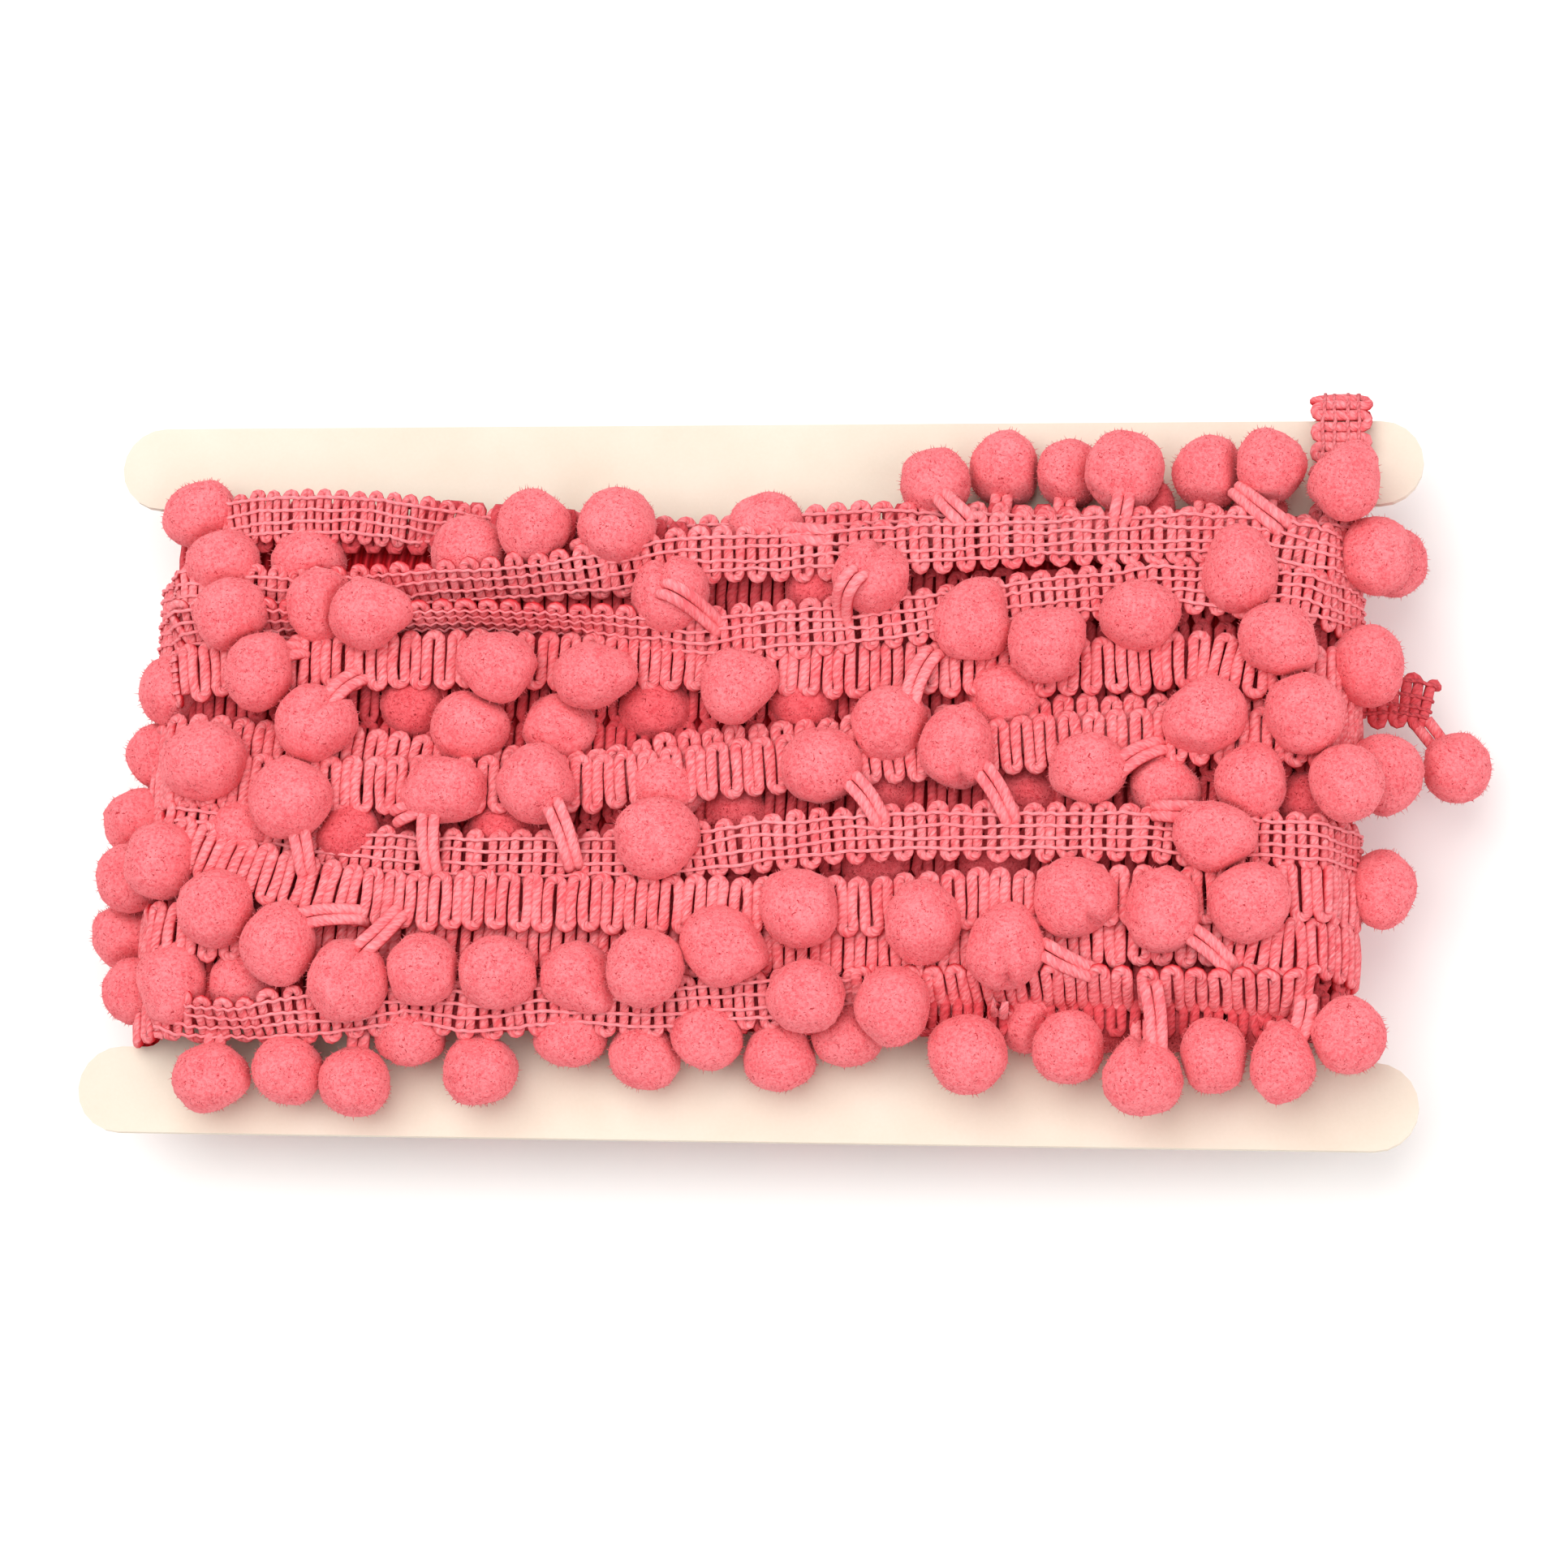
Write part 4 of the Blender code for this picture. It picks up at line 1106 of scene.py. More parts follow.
@dataclass
class Winding:
    """All turns of the braid on the card, as one line from the top left to the bottom right."""

    card: CardSize
    braid: Braid = field(default_factory=Braid)
    right_fold: float = 100.6
    left_fold: float = 101.4
    right_bend: float = 5.2
    left_bend: float = 8.0
    fold_turns: tuple[float, ...] = (58.0, 28.0, 0.0, -28.0, -58.0)
    shoulder: float = 7.2
    near_fold: float = 80.0
    back_height: float = 12.0
    back_way: tuple[tuple[float, float], ...] = (
        (93.0, 0.04), (60.0, 0.2), (20.0, 0.42), (-20.0, 0.58), (-60.0, 0.8), (-93.0, 0.96))
    back_drop: float = 1.4
    back_stray: float = 0.8
    back_ripple: float = 0.4
    back_seed: int = 17
    under_turns: int = 10
    under_pitch: float = 8.6
    under_top: float = 37.2
    under_height: float = 8.5
    under_fold: float = 99.0
    under_shoulder: float = 5.4
    under_drop: float = 0.9
    under_x: tuple[float, ...] = (-90.0, -45.0, 0.0, 22.0, 45.0, 90.0)
    under_rise: tuple[float, ...] = (3.6, 3.2, -0.8, 2.6, 2.4, 1.0)
    under_back_x: tuple[float, ...] = (90.0, 45.0, 0.0, -45.0, -90.0)
    close_length: float = 54.0
    close_pitch: float = 1.45
    fewest_ribs: int = 2

    def fold(self, side: int, y: float, reach: float, shoulder: float) -> list[Row]:
        """Carry a turn round one end of the winding, to the back at the right and on at the left.

        Args:
            side: 1 for the right fold and -1 for the left.
            y: The turn's place up the card.
            reach: Half-width of the winding at the middle of the fold.
            shoulder: Height of the turn over the card where the fold starts.

        Returns:
            Pairs of a place and the outward direction there.
        """
        bend = self.right_bend if side > 0 else self.left_bend
        made = []
        for turn in self.fold_turns:
            angle = math.radians(side * turn)
            x = side * (reach - bend + bend * math.cos(angle))
            z = self.card.middle + (self.card.half + shoulder) * math.sin(angle)
            made.append(((x, y, z), (side * math.cos(angle), 0.0, math.sin(angle))))
        return made

    def across_back(self, y_right: float, y_left: float, luck: random.Random) -> list[Row]:
        """Carry a turn across the back, from the right fold to the left one.

        Args:
            y_right: Its place up the card at the right fold.
            y_left: Its place at the left fold.
            luck: Source of chance.

        Returns:
            Pairs of a place and the outward direction there.
        """
        low = self.card.back - self.back_height
        made = []
        for x, share in self.back_way:
            y = y_right + (y_left - y_right) * share + luck.uniform(-self.back_stray, self.back_stray)
            drop = self.back_drop
            if abs(x) <= self.near_fold:
                drop = luck.uniform(-self.back_ripple, self.back_ripple)
            made.append(((x, y, low + drop), DOWN))
        return made

    def outer_line(self) -> tuple[Lay, list[tuple[float, float, Face]]]:
        """Join the outer turns, their folds and the turns across the back into one line.

        Returns:
            The line, and stretches of it as start, end and the face that looks outward.
        """
        rows: list[Row] = []
        marks: list[tuple[int, Face]] = []
        luck = random.Random(self.back_seed)
        for turn, after in zip(TURNS, (*TURNS[1:], None)):
            marks.append((len(rows), turn.face))
            for x, y, lift, lean in turn.points:
                height = turn.height + lift
                place = SIGHT.place(x, y, height)
                if turn.later is not None and x >= turn.change_at and marks[-1][1] is turn.face:
                    marks.append((len(rows), turn.later))
                angle = math.radians(lean)
                rows.append(((place[0], place[1], self.card.front + height),
                             (0.0, -math.sin(angle), math.cos(angle))))
            if after is not None:
                y_right = rows[-1][0][1]
                y_left = SIGHT.place(after.points[0][0], after.points[0][1], after.height)[1]
                rows += self.fold(1, y_right, self.right_fold, self.shoulder)
                rows += self.across_back(y_right, y_left, luck)
                rows += self.fold(-1, y_left, self.left_fold, self.shoulder)
        lay = Lay(rows)
        bounds = [lay.knots[index] for index, _ in marks] + [lay.length]
        return lay, [(bounds[index], bounds[index + 1], mark[1]) for index, mark in enumerate(marks)]

    def under_line(self) -> Lay:
        """Join the turns just under the outer ones, side by side at one height.

        Returns:
            The line.
        """
        front = self.card.front + self.under_height
        back = self.card.back - self.under_height
        rows: list[Row] = [((x, self.under_top, back + self.under_drop), DOWN)
                           for x in self.under_back_x[1:]]
        rows += self.fold(-1, self.under_top, self.under_fold, self.under_shoulder)
        for number in range(self.under_turns):
            y = self.under_top - number * self.under_pitch
            for x, rise in zip(self.under_x, self.under_rise):
                drop = self.under_drop if abs(x) > self.near_fold else 0.0
                rows.append(((x, y + (rise if number == 0 else 0.0), front - drop), UP))
            rows += self.fold(1, y, self.under_fold, self.under_shoulder)
            last = number + 1 == self.under_turns
            below = y if last else y - self.under_pitch
            for x in self.under_back_x:
                drop = self.under_drop if abs(x) > self.near_fold else 0.0
                share = (self.under_back_x[0] - x) / (2 * self.under_back_x[0])
                rows.append(((x, y + (below - y) * share, back + drop), DOWN))
            if not last:
                rows += self.fold(-1, below, self.under_fold, self.under_shoulder)
        return Lay(rows)

    def build(self, material: bpy.types.Material, shaded: bpy.types.Material,
              fine: bpy.types.Material) -> None:
        """Build every turn of the braid.

        Args:
            material: The yarn.
            shaded: The yarn of the covered turns, a deeper red that paints their shade.
            fine: The fine warp yarn.
        """
        outer, stretches = self.outer_line()
        ribs = int(outer.length / self.braid.rib_pitch)
        pitch = outer.length / ribs
        middles = (np.arange(ribs) + 0.5) * pitch
        mesh_up = np.zeros(ribs, bool)
        for start, end, face in stretches:
            if face is Face.MESH:
                mesh_up |= (middles >= start) & (middles < end)
        at_front = np.interp(middles, outer.length_at, outer.out[:, 2]) > 0
        cuts = [0, int(self.close_length / pitch)]
        cuts += [index for index in range(1, ribs)
                 if at_front[index] != at_front[index - 1] or mesh_up[index] != mesh_up[index - 1]]
        cuts.append(ribs)
        front, back, warps, under_stock = Stock(), Stock(), Stock(), Stock()
        for low, high in zip(cuts[:-1], cuts[1:]):
            if high - low < self.fewest_ribs:
                continue
            start, end = low * pitch, high * pitch
            # The first ribs lie closer together, as they do at the upper left of the winding.
            number = int((end - start) / self.close_pitch) if end <= self.close_length else high - low
            self.braid.weft(front if at_front[low] else back, outer, start, end,
                            np.full(number, mesh_up[low]))
            if mesh_up[low]:
                self.braid.warps(warps, outer, start, end, number)
        under = self.under_line()
        count = int(under.length / self.braid.rib_pitch)
        self.braid.weft(under_stock, under, 0.0, under.length - 1.0, np.zeros(count, bool), False)
        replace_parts(front.make("braid_front", material), "wound_trim")
        back.make("braid_back", material)
        warps.make("warp_yarns", fine)
        under_stock.make("braid_under", shaded)
        PackedTurns(self.card).build()


@dataclass
class Pompom:
    """One pompom in place: its middle and half-sizes in millimetres, and what shapes its face."""

    middle: np.ndarray
    half: np.ndarray
    crease: float | None = None
    pull: float | None = None
    shaded: bool = False
    at_back: bool = False

    def reach(self, way: np.ndarray) -> float:
        """Its radius along a direction of length one."""
        return 1 / math.sqrt(float(np.sum((way / self.half) ** 2)))

    def group(self) -> Group:
        """The piece that it belongs to."""
        side = Group.LEFT if self.middle[0] < 0 else Group.RIGHT
        return Group.DEEP if self.shaded else Group.BACK if self.at_back else side


@dataclass
class Pile:
    """The cut and felted pile of a pompom: its lumps, flats, furrow and loose fibre ends.

    Depths and rises are shares of the pompom's radius. Each row of waves is the lowest and highest
    number of radians over a radius, and the rise of its waves.
    """

    finest: int = 4
    waves: tuple[tuple[float, float, float], ...] = (
        (1.4, 2.8, 0.019), (3.5, 6.0, 0.008), (9.0, 15.0, 0.005), (18.0, 30.0, 0.005))
    waves_each: int = 6
    phase: float = 6.3
    flats_each: int = 4
    flat_from: tuple[float, float] = (0.84, 0.96)
    flat_share: float = 0.6
    furrow_depth: float = 0.26
    furrow_half: float = 0.13
    furrow_from: float = 0.25
    furrow_ease: float = 0.3
    furrow_below: float = 0.3
    furrow_fade: float = 0.4
    point_power: int = 5
    point_waist: float = 0.88
    own_point: float = 0.06
    drawn_point: float = 0.24
    meet_within: float = 15.5
    soft_edge: float = 0.75
    upper_gain: float = 0.4
    gap: float = 0.05
    fuzz_length: float = 0.95
    # Real fibres are thinner, so these are drawn coarser to show at all.
    fuzz_thickness: float = 0.10
    fuzz_root: float = 0.12
    fuzz_lean: float = 0.55
    fuzz_share: tuple[float, float] = (0.35, 1.0)
    fuzz_floor: float = 0.8
    shape_seed: int = 900

    def __post_init__(self) -> None:
        """Make the even ball of small triangles that every pompom starts from."""
        ball = bmesh.new()
        bmesh.ops.create_icosphere(ball, subdivisions=self.finest, radius=1.0)
        self.unit_ball = np.array([corner.co for corner in ball.verts], float)
        self.faces = np.array([[corner.index for corner in face.verts] for face in ball.faces], int)
        ball.free()

    def lumps(self, luck: np.random.Generator) -> np.ndarray:
        """Work out how far the pile stands in or out over the ball.

        Args:
            luck: Source of chance.

        Returns:
            A share of the radius for each corner.
        """
        made = np.zeros(len(self.unit_ball))
        for slow, high, rise in self.waves:
            for _ in range(self.waves_each):
                way = any_way(luck)
                wave = luck.uniform(slow, high) * self.unit_ball @ way + luck.uniform(0, self.phase)
                made += rise * np.sin(wave)
        return made

    def flats(self, points: np.ndarray, luck: np.random.Generator) -> np.ndarray:
        """Press soft flats into a ball where its pile was cut or packed.

        Args:
            points: Corners of the ball, about one from its middle.
            luck: Source of chance.

        Returns:
            The corners, moved.
        """
        for _ in range(self.flats_each):
            way = any_way(luck)
            over = np.maximum(points @ way - luck.uniform(*self.flat_from), 0.0)
            points = points - self.flat_share * over[:, None] * way
        return points

    def furrow(self, crease: float) -> np.ndarray:
        """Work out the furrow that a loop draws in a pompom's face.

        Args:
            crease: Direction of the furrow, in degrees from +X.

        Returns:
            A share of the radius for each corner, below zero in the furrow.
        """
        angle = math.radians(crease)
        way = np.array([math.cos(angle), math.sin(angle), 0.0])
        off = np.array([-math.sin(angle), math.cos(angle), 0.0])
        ahead = np.clip((self.unit_ball @ way + self.furrow_from) / self.furrow_ease, 0, 1)
        facing = np.clip((self.unit_ball[:, 2] + self.furrow_below) / self.furrow_fade, 0, 1)
        beside = self.unit_ball @ off
        return -self.furrow_depth * (ahead * facing) * np.exp(-(beside / self.furrow_half) ** 2)

    def point(self, pull: float, size: float) -> np.ndarray:
        """Work out how far a ball is drawn out to one side.

        Args:
            pull: The direction, in degrees from +X.
            size: How far its tip stands out.

        Returns:
            A share of the radius for each corner.
        """
        angle = math.radians(pull)
        share = np.clip(self.unit_ball @ np.array([math.cos(angle), math.sin(angle), 0.0]), 0, 1)
        return size * (share ** self.point_power - self.point_waist * share * (1 - share))

    def shape(self, index: int, balls: list[Pompom]) -> np.ndarray:
        """Shape one pompom: lumpy, creased, and pressed flat where it meets another.

        Args:
            index: Which pompom.
            balls: All of them, so that its neighbours are known.

        Returns:
            Its corners in millimetres.
        """
        ball = balls[index]
        middle = ball.middle
        luck = np.random.default_rng(self.shape_seed + index)
        swell = 1 + self.lumps(luck)
        swell += self.point(luck.uniform(0, 360), self.own_point)
        if ball.pull is not None:
            swell += self.point(ball.pull, self.drawn_point)
        if ball.crease is not None:
            swell += self.furrow(ball.crease)
        points = middle + self.flats(self.unit_ball * swell[:, None], luck) * ball.half
        for other, near in enumerate(balls):
            gap = near.middle - middle
            far = float(np.linalg.norm(gap))
            if other == index or far > self.meet_within or far < 1.0:
                continue
            way = gap / far
            own, their = ball.reach(way), near.reach(-way)
            if own + their <= far:
                continue
            above = self.upper_gain if middle[2] > near.middle[2] else -self.upper_gain
            limit = (far + own - their) / 2 + above * (own + their - far) - self.gap
            past = (points - middle) @ way - limit
            over = (past + np.sqrt(past ** 2 + self.soft_edge ** 2)) / 2
            points = points - np.where(past > -4 * self.soft_edge, over, 0.0)[:, None] * way
        return points

    def fuzz(self, stock: Stock, points: np.ndarray, middle: np.ndarray, count: int,
             luck: np.random.Generator) -> None:
        """Stand short fibre ends on a pompom, each a thin closed spike.

        Args:
            stock: Where the faces go.
            points: The pompom's corners.
            middle: Its middle.
            count: How many fibre ends.
            luck: Source of chance.
        """
        chosen = points[luck.choice(len(points), count, replace=False)]
        away = unit(chosen - middle)
        clear_of_floor = chosen[:, 2] > self.fuzz_floor
        chosen, away = chosen[clear_of_floor], away[clear_of_floor]
        lean = unit(away + luck.normal(0, self.fuzz_lean, away.shape))
        length = luck.uniform(*self.fuzz_share, len(chosen))[:, None] * self.fuzz_length
        # Any fixed direction that no fibre end is likely to lie along.
        side = unit(np.cross(lean, np.array([0.31, 0.52, 0.79])))
        third = np.cross(lean, side)
        foot = chosen - away * self.fuzz_root
        thick = self.fuzz_thickness
        corners = np.stack([foot + side * thick, foot - side * thick * 0.5 + third * thick * 0.87,
                            foot - side * thick * 0.5 - third * thick * 0.87,
                            chosen + lean * length], axis=1)
        base = np.arange(len(chosen))[:, None] * 4
        faces = [base + np.array(face) for face in ((0, 1, 3), (1, 2, 3), (2, 0, 3), (0, 2, 1))]
        stock.add(corners.reshape(-1, 3), np.concatenate(faces))


@dataclass
class Pompoms:
    """Every pompom: those read one by one at the front, and rows at the back by rule."""

    card: CardSize
    depth_limit: float = 12.8
    shade_height: float = 8.7
    trim: float = 0.965
    settle_passes: int = 14
    settle_step: float = 0.22
    settle_reach: float = 20.0
    overlap: float = 0.5
    height_give: float = 2.4
    highest: float = 16.3
    rest_middle: float = 5.6
    raised_middle: float = 8.4
    row_step: float = 18.0
    rows: int = 2
    ball_step: float = 29.0
    columns: int = 4
    floor_end: float = 86.0
    raised_end: float = 90.0
    corner_from: float = 60.0
    floor_stray: Place = (2.5, 1.5, 1.0)
    raised_stray: tuple[float, float] = (2.5, 3.5)
    raised_give: tuple[float, float] = (-0.6, 1.4)
    ball_size: float = 12.8
    back_seed: int = 31
    raised_seed: int = 43
    flange_step: float = 30.0
    flange_columns: int = 3
    flange_shift: float = 5.0
    flange_y: float = 48.5
    flange_depth: float = 7.2
    flange_stray: float = 4.0
    flange_give: tuple[float, float] = (-2.0, 3.0)
    flange_size: float = 12.2
    flange_from: float = 44.0
    room: float = 0.35
    fuzz_front: int = 300
    fuzz_back: int = 70
    fuzz_seed: int = 5000
    pile: Pile = field(default_factory=Pile)

    def settle(self, rows: list[Ball]) -> list[float]:
        """Move pompoms that meet apart along the line of sight, the nearer one up.

        Args:
            rows: The pompoms as read.

        Returns:
            Their settled heights over the card's front face.
        """
        heights = np.array([row.height for row in rows])
        given = heights.copy()
        half = np.array([[row.wide, row.tall, min(row.wide, row.tall)] for row in rows]) * self.trim / 2
        # Of two at one height, the one further right and lower on the card counts as the nearer.
        rank = given + np.array([0.002 * row.x - 0.004 * row.y for row in rows])
        own_place = np.eye(len(rows))
        for _ in range(self.settle_passes):
            spots = [SIGHT.place(row.x, row.y, high) for row, high in zip(rows, heights)]
            places = np.array([(x, y, high) for (x, y), high in zip(spots, heights)])
            gap = places[None, :, :] - places[:, None, :]
            # The wide distance keeps each pompom clear of itself.
            far = np.linalg.norm(gap, axis=2) + own_place * 99
            way = gap / far[:, :, None]
            own = 1 / np.sqrt(np.sum((way / half[:, None, :]) ** 2, axis=2) + own_place)
            over = np.maximum(own + own.T - far - self.overlap, 0.0) * (far < self.settle_reach)
            above = np.sign(rank[:, None] - rank[None, :])
            heights = heights + self.settle_step * np.sum(over * above, axis=1)
            heights = np.clip(heights, given - self.height_give, given + self.height_give)
            heights = np.minimum(heights, self.highest)
        return [float(high) for high in heights]

    def front(self) -> list[Pompom]:
        """Place the pompoms that were read from the photograph.

        Returns:
            All of them, settled.
        """
        tables = (TOP_FLANGE_BALLS, UPPER_BALLS, MIDDLE_BALLS, LOWER_BALLS, BOTTOM_FLANGE_BALLS,
                  SIDE_BALLS, HOLLOW_BALLS)
        rows = [row for table in tables for row in table]
        made = []
        for row, height in zip(rows, self.settle(rows)):
            x, y = SIGHT.place(row.x, row.y, height)
            depth = min(row.wide, row.tall, self.depth_limit)
            half = np.array([row.wide, row.tall, depth]) * self.trim / 2
            # Pompoms in the hollows, and low ones of the upper two thirds, get the deeper red pile: painted
            # shade.
            shaded = row in HOLLOW_BALLS or (row in UPPER_BALLS + MIDDLE_BALLS
                                             and row.height < self.shade_height)
            place = np.array([x, y, self.card.front + height])
            made.append(Pompom(place, half, row.crease, row.pull, shaded))
        return made

    def rests(self, row: int, column: int, x: float) -> bool:
        """Tell whether a pompom of the back's first rows touches the floor.

        Args:
            row: Its row, counted from the middle.
            column: Its place in the row, counted from the middle.
            x: Its place along the turns.

        Returns:
            Whether it does: the middle one, the corner ones and every other one do.
        """
        corner = abs(row) == self.rows and abs(x) > self.corner_from
        return corner or (column + row) % 2 == 0

    def back(self) -> list[Pompom]:
        """Place the pompoms of the back: rows that it rests on, with raised ones between.

        Returns:
            All of them.
        """
        luck = random.Random(self.back_seed)
        size = np.full(3, self.ball_size / 2)
        flange = np.full(3, self.flange_size / 2)
        stray_x, stray_y, stray_z = self.floor_stray
        made = []
        for row in range(-self.rows, self.rows + 1):
            shift = self.ball_step / 2 if row % 2 else 0.0
            for column in range(-self.columns, self.columns):
                x, y = column * self.ball_step + shift, row * self.row_step
                if abs(x) > self.floor_end:
                    continue
                floor = self.rests(row, column, x)
                if (row, column) != (0, 0):
                    x += luck.uniform(-stray_x, stray_x)
                    y += luck.uniform(-stray_y, stray_y)
                z = self.rest_middle if floor else self.raised_middle + luck.uniform(-stray_z, stray_z)
                made.append(Pompom(np.array([x, y, z]), size, at_back=True))
        for side in (-1, 1):
            for column in range(-self.flange_columns, self.flange_columns):
                x = (column + 0.5) * self.flange_step + side * self.flange_shift
                x += luck.uniform(-self.flange_stray, self.flange_stray)
                y = side * (self.flange_y + luck.uniform(*self.flange_give))
                made.append(Pompom(np.array([x, y, self.card.back - self.flange_depth]), flange,
                                   at_back=True))
        more = random.Random(self.raised_seed)
        stray_x, stray_y = self.raised_stray
        for row in range(-self.rows, self.rows + 1):
            shift = 0.0 if row % 2 else self.ball_step / 2
            for column in range(-self.columns, self.columns):
                x = column * self.ball_step + shift + more.uniform(-stray_x, stray_x)
                if abs(x) > self.raised_end:
                    continue
                y = row * self.row_step + more.uniform(-stray_y, stray_y)
                z = self.raised_middle + more.uniform(*self.raised_give)
                made.append(Pompom(np.array([x, y, z]), size, at_back=True))
        return made

    def balls(self) -> list[Pompom]:
        """Every pompom, those of the front first."""
        return self.front() + self.back()

    def add(self, stock: Stock, index: int, balls: list[Pompom], seed: int) -> None:
        """Shape one pompom, keep it clear of the card and the floor, and gather it with its fibre ends.

        Args:
            stock: Where the faces go.
            index: Which pompom.
            balls: All of them, so that its neighbours are known.
            seed: Seed of its fibre ends.
        """
        ball = balls[index]
        points = self.pile.shape(index, balls)
        by_flange = abs(ball.middle[1]) > self.flange_from
        if by_flange and ball.middle[2] > self.card.front:
            points[:, 2] = np.maximum(points[:, 2], self.card.front + self.room)
        if by_flange and ball.middle[2] < self.card.back:
            points[:, 2] = np.minimum(points[:, 2], self.card.back - self.room)
        points[:, 2] = np.maximum(points[:, 2], 0.0)
        stock.add(points, self.pile.faces)
        hairs = self.fuzz_back if ball.at_back else self.fuzz_front
        self.pile.fuzz(stock, points, ball.middle, hairs, np.random.default_rng(seed))

    def build(self, material: bpy.types.Material, shaded: bpy.types.Material) -> None:
        """Build all pompoms: the front's left and right half, the deep ones, and the back.

        Args:
            material: The pile.
            shaded: The pile of the pompoms deep in the hollows, a deeper red that paints their shade.
        """
        balls = self.balls()
        stocks = {group: Stock() for group in Group}
        for index, ball in enumerate(balls):
            self.add(stocks[ball.group()], index, balls, self.fuzz_seed + index)
        for group, stock in stocks.items():
            stock.make(group.value, shaded if group is Group.DEEP else material)


@dataclass
class LongLoops:
    """The long loops of two yarns that carry the pompoms."""

    card: CardSize
    yarn: float = 1.92
    spread: float = 1.02
    pinch: float = 0.3
    points: int = 13
    fineness: float = 0.4
    sides: int = 8
    bow: float = 0.9
    face_bow: float = 0.1
    face_step: float = 1.4
    face_steps: int = 8
    face_end: float = 0.94
    face_share: float = 0.97
    face_lifts: tuple[float, float, float] = (-1.0, 0.8, 1.25)
    tail: float = 1.3
    sway: tuple[float, float] = (0.5, 1.1)
    seed: int = 61
    flange_from: float = 45.0
    flange_root: float = 42.0
    flange_height: float = 8.2
    flange_lean: float = 0.99
    flange_bow: float = 0.3

    def strands(self, stock: Stock, places: list[np.ndarray], bow: float, sway: float = 0.0) -> None:
        """Lay the two yarns of one loop side by side.

        Args:
            stock: Where the faces go.
            places: The loop's way from the braid to its pompom.
            bow: How far its middle stands up.
            sway: How far its middle hangs to one side.
        """
        lay = Lay([(place, UP) for place in places], self.fineness)
        share = np.linspace(0.0, 1.0, self.points)
        along = share * lay.length
        pinched = self.spread * (1 - self.pinch * share ** 2)
        arc = np.sin(share * math.pi)
        for way in (-1.0, 1.0):
            line, out = lay.at(along, way * pinched + sway * arc, bow * arc)
            tube(stock, line, out, self.yarn / 2, self.yarn / 2, self.sides)

    def over_face(self, start: np.ndarray, end: np.ndarray, balls: list[Pompom]) -> list[np.ndarray]:
        """Find the way of a loop that leaves its pompom's furrow and crosses the face.

        Args:
            start: Its start in the furrow.
            end: Its end on the braid.
            balls: Every pompom.

        Returns:
            Places along its way, on the face and then down to the braid.
        """
        ball = min(balls, key=lambda one: float(np.linalg.norm((one.middle - start) * LEVEL)))
        foot = (start - ball.middle) * LEVEL
        way = unit((end - start) * LEVEL)
        places = []
        for number in range(self.face_steps):
            side = foot + self.face_step * number * way
            share = float(np.linalg.norm(side / ball.half))
            if share > self.face_end:
                break
            rise = ball.half[2] * math.sqrt(1 - share ** 2) * self.face_share
            lift = self.face_lifts[min(number, len(self.face_lifts) - 1)]
            places.append(ball.middle + side + np.array([0.0, 0.0, rise + lift]))
        return places + [end]

    def build(self, material: bpy.types.Material, balls: list[Pompom]) -> None:
        """Build the loops that show, and those of the pompoms over the flanges.

        Args:
            material: The yarn.
            balls: Every pompom.
        """
        stock = Stock()
        luck = random.Random(self.seed)
        for loop in LOOPS:
            x0, y0 = SIGHT.place(loop.x0, loop.y0, loop.height0)
            x1, y1 = SIGHT.place(loop.x1, loop.y1, loop.height1)
            start = np.array([x0, y0, self.card.front + loop.height0])
            end = np.array([x1, y1, self.card.front + loop.height1])
            way = unit((end - start) * LEVEL)
            places = self.over_face(start, end, balls) if loop.over else [start - way - DIVE, start, end]
            places.append(end + self.tail * way - DIVE)
            sway = luck.choice((-1, 1)) * luck.uniform(*self.sway)
            self.strands(stock, places, self.face_bow if loop.over else self.bow, sway)
        for ball in balls:
            x, y, z = ball.middle
            if abs(y) < self.flange_from:
                continue
            above = z > self.card.front
            level = self.card.front + self.flange_height if above else self.card.back - self.flange_height
            root = np.array([x * self.flange_lean, math.copysign(self.flange_root, y), level])
            self.strands(stock, [root, ball.middle], self.flange_bow)
        stock.make("long_loops", material)


